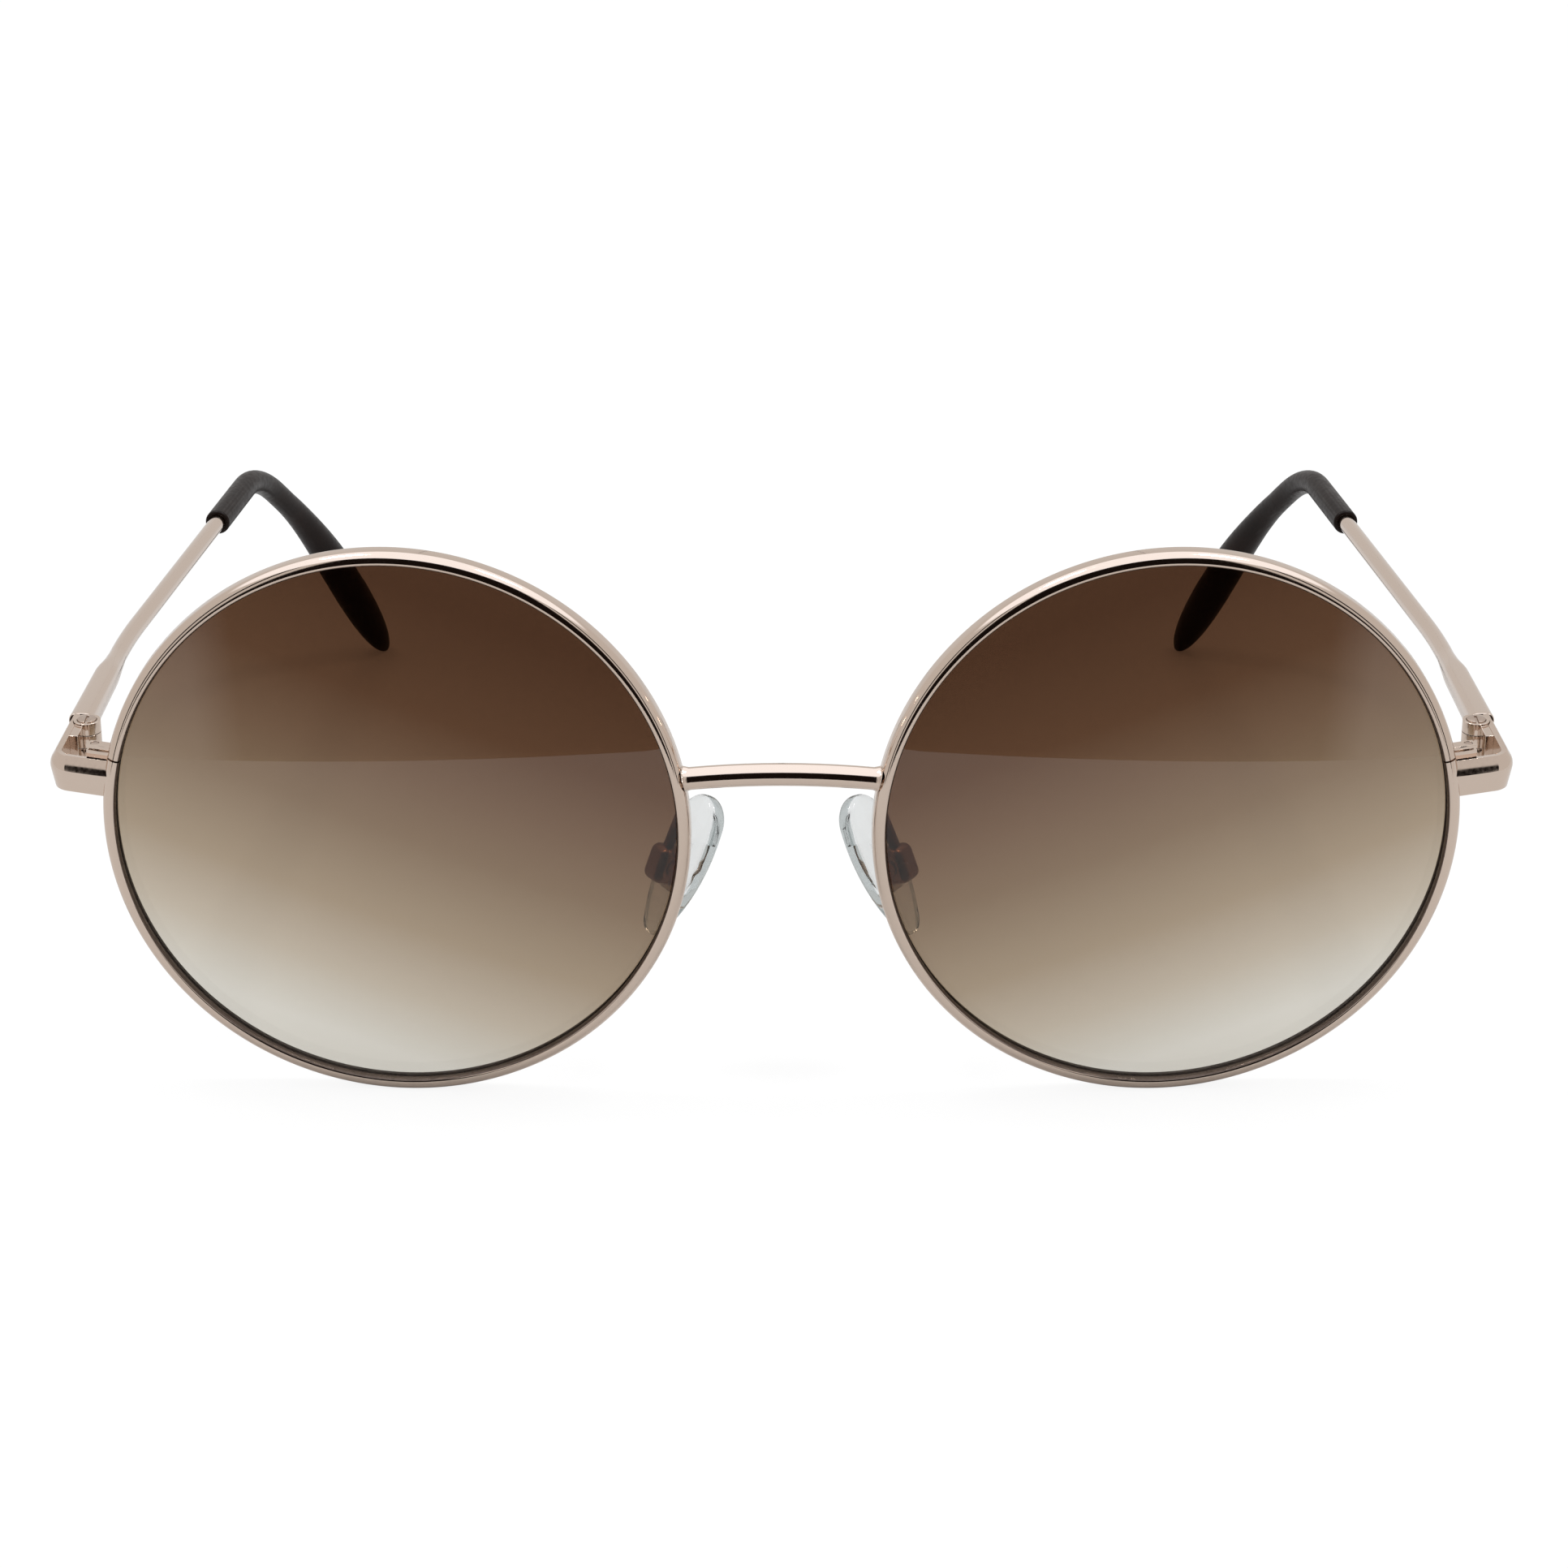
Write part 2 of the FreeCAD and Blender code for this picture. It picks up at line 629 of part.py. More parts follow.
housing = new_body("spring_box")
housing_side = new_sketch(housing, "housing_side", "YZ_Plane",
                          shift(0, 0, (dim("box_outer") - dim("box_inner")) / 2))
draw_outline(housing_side, [
    ("Dims.butt", "Dims.wire_rise - Dims.box_front_half"),
    ("Dims.box_end", "Dims.wire_rise - Dims.box_rear_half"),
    ("Dims.box_end", "Dims.wire_rise + Dims.box_rear_half"),
    ("Dims.butt", "Dims.wire_rise + Dims.box_front_half"),
])
pad(housing, housing_side, "Dims.box_inner + Dims.box_outer")
inner_wall = -dim("box_inner") + dim("solder_gap")
round_edges(housing, "Dims.box_round",
            lambda middle: middle.x < inner_wall and middle.y > dim("butt") + dim("solder_gap"))
slot_half = "(Dims.shank_half + Dims.shank_play)"
slot_height = "(Dims.shank_height + 2 * Dims.shank_play)"
keep("spring_box_left", cut(
    "housing_cut", housing,
    block("housing_slot", shift(dim("bore_side") - value(slot_half), 0,
                                dim("bore_rise") - value(slot_height) / 2),
          f"2 * {slot_half}", "Dims.web_start", slot_height),
    along("housing_web_hole", "Dims.shaft_radius + Dims.shaft_play", "Dims.shank_start", "Dims.bore_end"),
    along("housing_bore", "Dims.bore_radius", "Dims.web_end", "Dims.bore_end")), TEMPLE)


# Hinge spring: a compression coil round the shaft, between the web of the box and the stop.

def coil_path(radius, start, end, turns):
    """Quarter-turn arcs along Y; each passes through three points of the helix."""
    quarters = 4 * turns

    def on_helix(step):
        angle = step * math.pi / 2
        rise = start + (end - start) * step / quarters
        across = radius * math.cos(angle)
        return Vector(dim("bore_side") + across, rise, dim("bore_rise") + radius * math.sin(angle))

    arcs = [Part.Arc(on_helix(step), on_helix(step + 0.5), on_helix(step + 1)) for step in range(quarters)]
    return Part.Wire([arc.toShape() for arc in arcs])


spring_start = dim("web_end") + dim("spring_play")
spring_end = dim("stop_start") - dim("spring_play")
spring_path = coil_path(dim("spring_coil"), spring_start, spring_end, int(dim("spring_turns")))
first_edge = spring_path.Edges[0]
wire_ring = Part.Wire([Part.makeCircle(dim("spring_wire"), first_edge.valueAt(first_edge.FirstParameter),
                                       first_edge.tangentAt(first_edge.FirstParameter))])
spring = doc.addObject("Part::Feature", "spring_coil_solid")
spring.Shape = spring_path.makePipeShell([wire_ring], True, False)
keep("hinge_spring_left", spring, TEMPLE)
coil_gap = (spring_end - spring_start) / dim("spring_turns") - 2 * dim("spring_wire")
print(f"hinge spring: gap between turns {coil_gap:.2f} mm")

# Temple: a rod milled flat beside the box, tapering to a round wire that runs on inside the tip.

upright_oval = Placement(Vector(), Rotation(Z_AXIS, -X_AXIS, Y_AXIS, "ZXY"))


def temple_oval(name, station, half_height, half_width):
    place = shift(dim("wire_side"), value(station), dim("wire_rise")) * upright_oval
    return oval(name, place, half_height, half_width)


temple_front = loft("temple_front", [
    temple_oval("temple_oval_front", "Dims.butt", "Dims.flat_half", "Dims.flat_reach"),
    temple_oval("temple_oval_box", "Dims.box_end", "0.9 * Dims.flat_half", "0.9 * Dims.flat_reach"),
    temple_oval("temple_oval_wire", "Dims.taper_end", "Dims.wire_radius", "Dims.wire_radius"),
], ruled=True)
bowed = turn(Z_AXIS, dim("bow"))
ear_plane = bowed * turn(Y_AXIS, dim("tip_roll"))


def ear_heading(degrees):
    """Direction of the wire once it has turned down by an angle in the plane of the ear bend."""
    angle = math.radians(degrees)
    return ear_plane.multVec(Vector(0, math.cos(angle), -math.sin(angle)))


bow_corner = Vector(dim("wire_side"), dim("bow_at"), dim("wire_rise"))
bend_corner = bow_corner + bowed.multVec(Y_AXIS) * (dim("bend_at") - dim("bow_at"))
tail_heading = ear_heading(dim("tip_bend"))
temple_wire = bent_rod("temple_wire", [
    Vector(dim("wire_side"), dim("taper_end"), dim("wire_rise")),
    bow_corner,
    bend_corner,
    bend_corner + tail_heading * dim("core_tail"),
], "Dims.wire_radius", "Dims.bow_radius", "Dims.bend_radius")
milled_side = block("temple_flat",
                    shift(dim("flat_side") - 2 * dim("flat_half"), 0,
                          dim("wire_rise") - 2 * dim("flat_half")),
                    "2 * Dims.flat_half", "Dims.box_end + Dims.solder_gap", "4 * Dims.flat_half")
keep("temple_left", cut("temple_cut", fuse("temple_blank", temple_front, temple_wire), milled_side),
     TEMPLE)

# Temple tip: a plastic sleeve over the wire, a tube round the bend and a paddle behind the ear.

PADDLE = [
    # share of the paddle's length, then half width in the plane of the bend and half thickness,
    # both as multiples of the radius of the tube
    (0.0, 1.0, 1.0),
    (0.1, 1.03, 1.03),
    (0.2, 1.12, 1.12),
    (0.35, 1.36, 1.3),
    (0.5, 1.62, 1.45),
    (0.65, 1.76, 1.5),
    (0.8, 1.7, 1.38),
    (0.9, 1.46, 1.12),
    (0.96, 1.06, 0.8),
    (1.0, 0.45, 0.38),
]
curl_tangent = dim("curl_radius") * math.tan(math.radians(dim("curl")) / 2)
curl_start = dim("curl_at") - curl_tangent - dim("tube_tail")
curl_length = dim("curl_radius") * math.radians(dim("curl"))
paddle_run = curl_start + curl_length + dim("tip_tail") - dim("curl_at") - curl_tangent


def on_paddle(distance):
    """Centre and heading of the paddle at a distance from the end of the tube."""
    if distance <= curl_start:
        return bend_corner + tail_heading * (dim("tube_tail") + distance), tail_heading
    entry = bend_corner + tail_heading * (dim("tube_tail") + curl_start)
    inward = ear_heading(dim("tip_bend") + 90)
    turned = min(distance - curl_start, curl_length) / dim("curl_radius")
    centre = entry + inward * dim("curl_radius")
    heading = ear_heading(dim("tip_bend") + math.degrees(turned))
    outward = ear_heading(dim("tip_bend") + math.degrees(turned) - 90)
    straight = max(distance - curl_start - curl_length, 0)
    return centre + outward * dim("curl_radius") + heading * straight, heading


side_ways = ear_plane.multVec(X_AXIS)
paddle_ovals = []
for share, broad, thick in PADDLE:
    spot, heading = on_paddle(share * paddle_run)
    frame = Rotation(heading.cross(side_ways), side_ways, heading, "ZXY")
    paddle_ovals.append(oval(f"paddle_oval{len(paddle_ovals)}", Placement(spot, frame),
                             f"{broad} * Dims.tip_radius", f"{thick} * Dims.tip_radius"))


def sleeve_line(start, tail):
    """The line of the wire from a station past the bow to a length past the ear bend."""
    from_bow = start - dim("bow_at")
    return [bow_corner + bowed.multVec(Y_AXIS) * from_bow, bend_corner, bend_corner + tail_heading * tail]


tip_tube = bent_rod("tip_tube", sleeve_line(dim("tip_start"), dim("tube_tail")),
                    "Dims.tip_radius", "Dims.bend_radius")
tip_bore = bent_rod("tip_bore", sleeve_line(dim("tip_start") - dim("tip_radius"),
                                            dim("core_tail") + dim("tip_play")),
                    "Dims.wire_radius + Dims.tip_play", "Dims.bend_radius")
tip_blank = fuse("tip_blank", tip_tube, loft("tip_paddle", paddle_ovals, ruled=False))
tip_rounded = round_off("tip_rounded", tip_blank, dim("tip_mouth_round"),
                        lambda middle: middle.y < dim("tip_start") + dim("tip_play"))
keep("temple_tip_left", cut("tip_cut", tip_rounded, tip_bore), TEMPLE)

# Nose pad: clear moulded teardrop with rounded edges and a pocket for the plate of its lug.
# In the pad's frame X points away from the nose, Y across the pad and Z up it.

nose_pad = new_body("nose_pad")
pad_outline = new_sketch(nose_pad, "pad_outline", "YZ_Plane", turn(Z_AXIS, dim("pad_roll")))
bind(pad_outline, **{"AttachmentOffset.Rotation.Angle": "Dims.pad_roll * 1 deg"})
half_width = "(Dims.pad_width / 2)"
top_centre = "(Dims.pad_length / 2 - Dims.pad_top_radius)"
side_radius = (f"((({top_centre} - Dims.pad_belly) ^ 2 - Dims.pad_top_radius ^ 2 + {half_width} ^ 2)"
               " / (Dims.pad_width - 2 * Dims.pad_top_radius))")
below_belly = "(Dims.pad_length / 2 + Dims.pad_belly)"
bottom_radius = (f"(({side_radius} * Dims.pad_width - {half_width} ^ 2 - {below_belly} ^ 2)"
                 f" / (2 * ({side_radius} - {below_belly})))")
bottom_centre = f"({bottom_radius} - Dims.pad_length / 2)"
side_set = f"({side_radius} - {half_width})"


def tangent_spot(end_centre, end_radius):
    """Where an end arc of the pad runs into its side arc."""
    share = f"({end_radius} / ({side_radius} - {end_radius}))"
    return f"({side_set} * {share})", f"({end_centre} + ({end_centre} - Dims.pad_belly) * {share})"


top_side, top_level = tangent_spot(top_centre, "Dims.pad_top_radius")
bottom_side, bottom_level = tangent_spot(bottom_centre, bottom_radius)
draw_outline(pad_outline, [
    (bottom_side, bottom_level, side_radius, "right"),
    (top_side, top_level, "Dims.pad_top_radius", "right"),
    (f"-{top_side}", top_level, side_radius, "right"),
    (f"-{bottom_side}", bottom_level, bottom_radius, "right"),
])
pad(nose_pad, pad_outline, "Dims.pad_thick")
round_edges(nose_pad, "Dims.pad_edge_round",
            lambda middle: abs(middle.x) > dim("pad_thick") / 2 - dim("solder_gap"))


def across(name, radius, start, length):
    """Round solid on the axis about which the pad rocks."""
    return rod(name, radius, length, shift(dim("pivot_out"), value(start), 0) * ALONG_Y)


def centred_block(name, start, depth, width, height):
    return block(name, shift(value(start), -value(width) / 2, -value(height) / 2), depth, width, height)


plate_start = "Dims.pad_thick / 2 - Dims.lug_plate_depth"
play = "2 * Dims.lug_play"
keep("nose_pad_left", cut(
    "pad_cut", nose_pad,
    centred_block("pad_pocket", f"{plate_start} - Dims.lug_play", f"Dims.lug_plate_thick + {play}",
                  f"Dims.lug_plate_width + {play}", f"Dims.lug_plate_length + {play}"),
    centred_block("pad_throat", plate_start, "Dims.pad_thick", f"Dims.lug_width + {play}",
                  f"Dims.lug_height + {play}")), PAD)
lug = fuse("lug_blank",
           centred_block("lug_plate", plate_start, "Dims.lug_plate_thick", "Dims.lug_plate_width",
                         "Dims.lug_plate_length"),
           centred_block("lug_tongue", plate_start, f"Dims.lug_reach - ({plate_start})",
                         "Dims.lug_width", "Dims.lug_height"))
keep("pad_lug_left", cut("lug_cut", lug, across("lug_hole", "Dims.pivot_hole", "-Dims.lug_width",
                                                "2 * Dims.lug_width")), PAD)

# Pad box: a rounded cup at the end of the pad arm, with cheeks on both sides of the lug.

holder = new_body("pad_box")
holder_place = shift(0, 0, dim("pad_thick") / 2 + dim("box_gap") + dim("holder_depth") / 2)
holder_face = new_sketch(holder, "holder_face", "YZ_Plane", holder_place)
draw_outline(holder_face, rectangle("-Dims.holder_width / 2", "-Dims.holder_height / 2",
                                    "Dims.holder_width / 2", "Dims.holder_height / 2"))
pad(holder, holder_face, "Dims.holder_depth")
holder_back = dim("pad_thick") / 2 + dim("box_gap")
round_edges(holder, "Dims.holder_round", lambda middle: middle.x > holder_back + dim("solder_gap"))
keep("pad_box_left", cut(
    "holder_cut", holder,
    centred_block("holder_slot", "Dims.pad_thick / 2", "Dims.box_gap + Dims.holder_slot_depth",
                  "Dims.holder_slot_width", "Dims.holder_slot_height"),
    across("holder_hole", "Dims.pivot_hole", "-Dims.holder_width", "2 * Dims.holder_width")), PAD)
pivot = fuse("pivot_blank",
             across("pivot_shank", "Dims.pivot_radius", "-Dims.holder_width / 2", "Dims.holder_width"),
             across("pivot_head_disc", "Dims.pivot_head",
                    "-Dims.holder_width / 2 - Dims.pivot_head_height - Dims.solder_gap",
                    "Dims.pivot_head_height"),
             across("pivot_neck", "Dims.pivot_radius",
                    "-Dims.holder_width / 2 - Dims.pivot_head_height", "Dims.pivot_head_height"))
pivot_slot = block("pivot_slot",
                   shift(dim("pivot_out") - dim("pivot_head"),
                         -dim("holder_width") / 2 - 1.6 * dim("pivot_head_height"),
                         -dim("screw_slot") / 2),
                   "2 * Dims.pivot_head", "Dims.pivot_head_height", "Dims.screw_slot")
keep("pad_screw_left", cut("pivot_cut", pivot, pivot_slot), PAD)

# Pad arm: wire soldered behind the rim, rising over and down into the top of the pad box.

arm_crown = PAD.multVec(Vector(holder_back + dim("holder_depth") / 2, 0, dim("holder_height") / 2))
arm_corners = [
    Vector(dim("arm_foot_x"), dim("arm_foot_y"), dim("arm_foot_z")),
    Vector(dim("arm_crest_x"), dim("arm_crest_y"), dim("arm_crest_z")),
    arm_crown,
]
holder_copy = doc.addObject("Part::Feature", "arm_socket")
doc.recompute()
holder_copy.Shape = holder.Shape.copy()
holder_copy.Placement = PAD
arm_ring = doc.addObject("Part::Feature", "arm_rim")
arm_ring.Shape = rim.Shape.copy()
arm_ring.Placement = LENS * turn(Y_AXIS, -slit_angle)
keep("pad_arm_left", cut("arm_cut", bent_rod("arm_wire", arm_corners, "Dims.arm_radius", "Dims.arm_bend"),
                         holder_copy, arm_ring))

doc.recompute()


# Standing: the front leans until the rims and the tips touch the table together.

def cloud(label):
    """Points all over a piece, in the frame of the front."""
    piece, frame = pieces[label]
    shape = piece.Shape.copy()
    shape.Placement = frame * shape.Placement
    return shape.tessellate(0.01)[0]


def lowest(points, degrees):
    lean = turn(X_AXIS, degrees)
    return min(lean.multVec(point).z for point in points)


rim_points = cloud("rim_left")
tip_points = cloud("temple_tip_left")
low, high = 0.0, 10.0
while high - low > 1e-6:
    middle = (low + high) / 2
    if lowest(tip_points, middle) < lowest(rim_points, middle):
        low = middle
    else:
        high = middle
lean = turn(X_AXIS, low)
front_points = [lean.multVec(point) for label in ("rim_left", "bridge") for point in cloud(label)]
rear_points = [lean.multVec(point) for point in tip_points]
half_way = (min(point.y for point in front_points) + max(point.y for point in rear_points)) / 2
STAND = shift(0, -half_way, -lowest(rim_points, low)) * lean
print(f"standing: lean {low:.3f} degrees, lens centres {STAND.Base.z:.3f} high, front {half_way:.3f} back")

for piece, frame in pieces.values():
    piece.Placement = STAND * frame

# The wearer's right side is the mirror image of the left.

for label, (piece, frame) in list(pieces.items()):
    if label.endswith("_left"):
        twin = doc.addObject("Part::Mirroring", label.replace("_left", "_twin"))
        twin.Source = piece
        twin.Normal = X_AXIS
        keep(label.replace("_left", "_right"), twin)
doc.recompute()

faults = [item.Label for item in doc.Objects if {"Invalid", "Error"} & set(item.State)]
for label, (piece, frame) in pieces.items():
    shape = piece.Shape
    if shape.isNull() or not shape.isValid() or len(shape.Solids) != 1:
        faults.append(label)
if faults:
    raise RuntimeError("pieces that failed: " + ", ".join(faults))

os.makedirs("parts", exist_ok=True)
for label, (piece, frame) in pieces.items():
    piece.Shape.exportStep(f"parts/{label}.step")
print(f"{len(pieces)} pieces written")
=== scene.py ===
import json
import math

import bpy
from mathutils import Matrix, Vector

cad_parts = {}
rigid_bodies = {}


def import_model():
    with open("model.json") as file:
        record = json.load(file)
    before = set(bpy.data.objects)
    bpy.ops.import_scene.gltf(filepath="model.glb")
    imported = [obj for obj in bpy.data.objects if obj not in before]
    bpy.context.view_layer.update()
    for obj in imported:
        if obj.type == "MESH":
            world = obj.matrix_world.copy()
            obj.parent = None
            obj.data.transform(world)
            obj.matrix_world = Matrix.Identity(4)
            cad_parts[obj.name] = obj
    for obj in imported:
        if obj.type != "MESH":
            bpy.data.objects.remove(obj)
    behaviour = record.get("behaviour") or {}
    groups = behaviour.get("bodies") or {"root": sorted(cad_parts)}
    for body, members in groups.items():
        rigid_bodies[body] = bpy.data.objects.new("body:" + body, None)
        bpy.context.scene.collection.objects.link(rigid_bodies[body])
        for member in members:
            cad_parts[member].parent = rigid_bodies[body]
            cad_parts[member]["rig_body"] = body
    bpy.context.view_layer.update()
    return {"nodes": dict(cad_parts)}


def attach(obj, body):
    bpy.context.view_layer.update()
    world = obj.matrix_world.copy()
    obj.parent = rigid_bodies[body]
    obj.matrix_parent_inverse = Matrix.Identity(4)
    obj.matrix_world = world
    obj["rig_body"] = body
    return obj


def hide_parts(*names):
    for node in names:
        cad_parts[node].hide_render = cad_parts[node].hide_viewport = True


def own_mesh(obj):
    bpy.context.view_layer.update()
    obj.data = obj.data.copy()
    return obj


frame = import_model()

# Viewpoint: a camera in front of the open sunglasses, looking down on them from a hand's length above.
# The pair is drawn about its front, which leans forward until rims and tips stand on the table.
MM = 0.001
LEAN = math.radians(2.361)
LENS_HEIGHT = 28.871
FRONT_FORWARD = 63.237
EYE = Vector((0, -363.84, 170.97))
LOOK_DOWN = math.radians(24.55)
NEAREST_SEEN = 10
FOCAL_PIXELS = 5068
PHOTO_PIXELS = 1932
AXIS_PIXEL = 963
SENSOR = 36

STAND = Matrix.Translation((0, -FRONT_FORWARD * MM, LENS_HEIGHT * MM)) @ Matrix.Rotation(LEAN, 4, "X")
camera_data = bpy.data.cameras.new("photo_camera")
camera_data.sensor_width = SENSOR
camera_data.lens = SENSOR * FOCAL_PIXELS / PHOTO_PIXELS
camera_data.shift_x = 0.5 - AXIS_PIXEL / PHOTO_PIXELS
camera_data.clip_start = NEAREST_SEEN * MM
camera = bpy.data.objects.new("photo_camera", camera_data)
bpy.context.scene.collection.objects.link(camera)
camera.location = STAND @ (EYE * MM)
camera.rotation_euler = (math.radians(90) - LOOK_DOWN + LEAN, 0, 0)
bpy.context.scene.camera = camera
bpy.context.scene.view_settings.view_transform = "Standard"

# Table: a white laminate top whose rounded front edge ends a hand's width in front of the pair.
# It is nearly white to the eye, duller through glass and light grey in metal, and it keeps soft shadows.
TABLE_FRONT = -165
TABLE_BACK = 900
TABLE_HALF_WIDTH = 354
TABLE_STEPS = 256
TABLE_WHITE_TO_EYE = 0.88
TABLE_WHITE_THROUGH_GLASS = 0.44


def linear(code):
    """A colour written as sRGB hex, as linear numbers for a shader."""
    channels = [int(code[place:place + 2], 16) / 255 for place in (1, 3, 5)]
    return [c / 12.92 if c <= 0.04045 else ((c + 0.055) / 1.055) ** 2.4 for c in channels] + [1.0]


def add_node(tree, kind, inputs=(), **settings):
    """Adds a shader node, makes its settings, and sets or links its inputs."""
    made = tree.nodes.new(kind)
    for setting, choice in settings.items():
        setattr(made, setting, choice)
    for socket, source in dict(inputs).items():
        if isinstance(source, bpy.types.NodeSocket):
            tree.links.new(source, made.inputs[socket])
        else:
            made.inputs[socket].default_value = source
    return made


def new_material(name):
    """A material with nothing in it yet, and its node tree."""
    material = bpy.data.materials.new(name)
    material.use_nodes = True
    material.node_tree.nodes.clear()
    return material, material.node_tree


bpy.ops.object.select_all(action="DESELECT")
bpy.ops.mesh.primitive_circle_add(vertices=TABLE_STEPS, radius=1, fill_type="NGON")
table = bpy.context.active_object
table.name = "table"
bpy.ops.object.mode_set(mode="EDIT")
bpy.ops.transform.resize(value=(TABLE_HALF_WIDTH * MM, (TABLE_BACK - TABLE_FRONT) / 2 * MM, 1))
bpy.ops.transform.translate(value=(0, (TABLE_BACK + TABLE_FRONT) / 2 * MM, 0))
bpy.ops.object.mode_set(mode="OBJECT")
laminate, tree = new_material("white_laminate")
ray = add_node(tree, "ShaderNodeLightPath")
shaded = add_node(tree, "ShaderNodeBsdfDiffuse", {"Color": linear("#F2F2F2")})
greyed = add_node(tree, "ShaderNodeBsdfDiffuse", {"Color": linear("#CACACA")})
white = add_node(tree, "ShaderNodeEmission", {"Color": linear("#FFFFFF"), "Strength": 1.0})
reflected = add_node(tree, "ShaderNodeMixShader", {
    0: ray.outputs["Is Glossy Ray"], 1: shaded.outputs[0], 2: greyed.outputs[0]})
through = add_node(tree, "ShaderNodeMath", {
    0: ray.outputs["Is Transmission Ray"], 1: TABLE_WHITE_THROUGH_GLASS}, operation="MULTIPLY")
direct = add_node(tree, "ShaderNodeMath", {
    0: ray.outputs["Is Camera Ray"], 1: TABLE_WHITE_TO_EYE, 2: through.outputs[0]}, operation="MULTIPLY_ADD")
seen = add_node(tree, "ShaderNodeMixShader", {
    0: direct.outputs[0], 1: reflected.outputs[0], 2: white.outputs[0]})
add_node(tree, "ShaderNodeOutputMaterial", {"Surface": seen.outputs[0]})
table.data.materials.append(laminate)

# Studio: a pale room, with a soft box over the table that polished metal shows brighter than the walls.
# The open front, where the camera stands, reflects as a dark doorway with a dark lamp stand on either side.
# Angles are degrees sideways or upwards from straight ahead, each pair the two sides of a soft edge.
DOORWAY_HALF = (24.5, 28)
DOORWAY_TOP = (37, 42)
LAMP_STAND_NEAR = (37, 39)
LAMP_STAND_FAR = (46.8, 47.6)
LEAST_AHEAD = 0.001
DOORWAY_DARK = "#1A1412"
WALLS_PALE = "#E4E2E0"
SOFT_BOX_LIGHT = (1.5, 1.57, 1.68, 1)
ROOM_WHITE_THROUGH_GLASS = 0.12
SHADE_LAMP_WATTS = 1.9
SHADE_LAMP_SIZE = 160
SHADE_LAMP_PLACE = (330, -30, 860)

doorway_half = [math.tan(math.radians(angle)) for angle in DOORWAY_HALF]
doorway_top = [math.sin(math.radians(angle)) for angle in DOORWAY_TOP]
lamp_stand_near = [math.tan(math.radians(angle)) for angle in LAMP_STAND_NEAR]
lamp_stand_far = [math.tan(math.radians(angle)) for angle in LAMP_STAND_FAR]
world = bpy.data.worlds.new("white_studio")
bpy.context.scene.world = world
world.use_nodes = True
tree = world.node_tree
tree.nodes.clear()
ray = add_node(tree, "ShaderNodeLightPath")
direction = add_node(tree, "ShaderNodeTexCoord")
split = add_node(tree, "ShaderNodeSeparateXYZ", {0: direction.outputs["Generated"]})
sideways = add_node(tree, "ShaderNodeMath", {0: split.outputs["X"]}, operation="ABSOLUTE")
ahead = add_node(tree, "ShaderNodeMath", {0: split.outputs["Y"], 1: -1.0}, operation="MULTIPLY")
ahead = add_node(tree, "ShaderNodeMath", {0: ahead.outputs[0], 1: LEAST_AHEAD}, operation="MAXIMUM")
slope = add_node(tree, "ShaderNodeMath", {0: sideways.outputs[0], 1: ahead.outputs[0]}, operation="DIVIDE")
beside = add_node(tree, "ShaderNodeMapRange", {0: slope.outputs[0], 1: doorway_half[0], 2: doorway_half[1]})
above = add_node(tree, "ShaderNodeMapRange", {0: split.outputs["Z"], 1: doorway_top[0], 2: doorway_top[1]})
walls = add_node(tree, "ShaderNodeMix", {
    0: beside.outputs[0], 6: linear(DOORWAY_DARK), 7: linear(WALLS_PALE)}, data_type="RGBA")
near = add_node(tree, "ShaderNodeMapRange", {
    0: slope.outputs[0], 1: lamp_stand_near[0], 2: lamp_stand_near[1]})
far = add_node(tree, "ShaderNodeMapRange", {
    0: slope.outputs[0], 1: lamp_stand_far[0], 2: lamp_stand_far[1], 3: 1.0, 4: 0.0})
lamp_stand = add_node(tree, "ShaderNodeMath", {0: near.outputs[0], 1: far.outputs[0]}, operation="MULTIPLY")
walls = add_node(tree, "ShaderNodeMix", {
    0: lamp_stand.outputs[0], 6: walls.outputs[2], 7: linear(DOORWAY_DARK)}, data_type="RGBA")
room = add_node(tree, "ShaderNodeMix", {
    0: above.outputs[0], 6: walls.outputs[2], 7: SOFT_BOX_LIGHT}, data_type="RGBA")
plain = add_node(tree, "ShaderNodeMath", {
    0: ray.outputs["Is Camera Ray"], 1: ray.outputs["Is Diffuse Ray"]}, operation="MAXIMUM")
plain = add_node(tree, "ShaderNodeMath", {
    0: ray.outputs["Is Transmission Ray"], 1: ROOM_WHITE_THROUGH_GLASS, 2: plain.outputs[0]},
    operation="MULTIPLY_ADD", use_clamp=True)
sky = add_node(tree, "ShaderNodeMix", {
    0: plain.outputs[0], 6: room.outputs[2], 7: linear("#FFFFFF")}, data_type="RGBA")
background = add_node(tree, "ShaderNodeBackground", {"Color": sky.outputs[2], "Strength": 1.0})
add_node(tree, "ShaderNodeOutputWorld", {"Surface": background.outputs[0]})

for side in (1, -1):
    lamp_data = bpy.data.lights.new("soft_lamp", "AREA")
    lamp_data.size = SHADE_LAMP_SIZE * MM
    lamp_data.energy = SHADE_LAMP_WATTS
    lamp = bpy.data.objects.new("soft_lamp", lamp_data)
    bpy.context.scene.collection.objects.link(lamp)
    lamp.location = Vector((side * SHADE_LAMP_PLACE[0], *SHADE_LAMP_PLACE[1:])) * MM
    lamp.rotation_euler = (0, side * math.atan2(SHADE_LAMP_PLACE[0], SHADE_LAMP_PLACE[2]), 0)

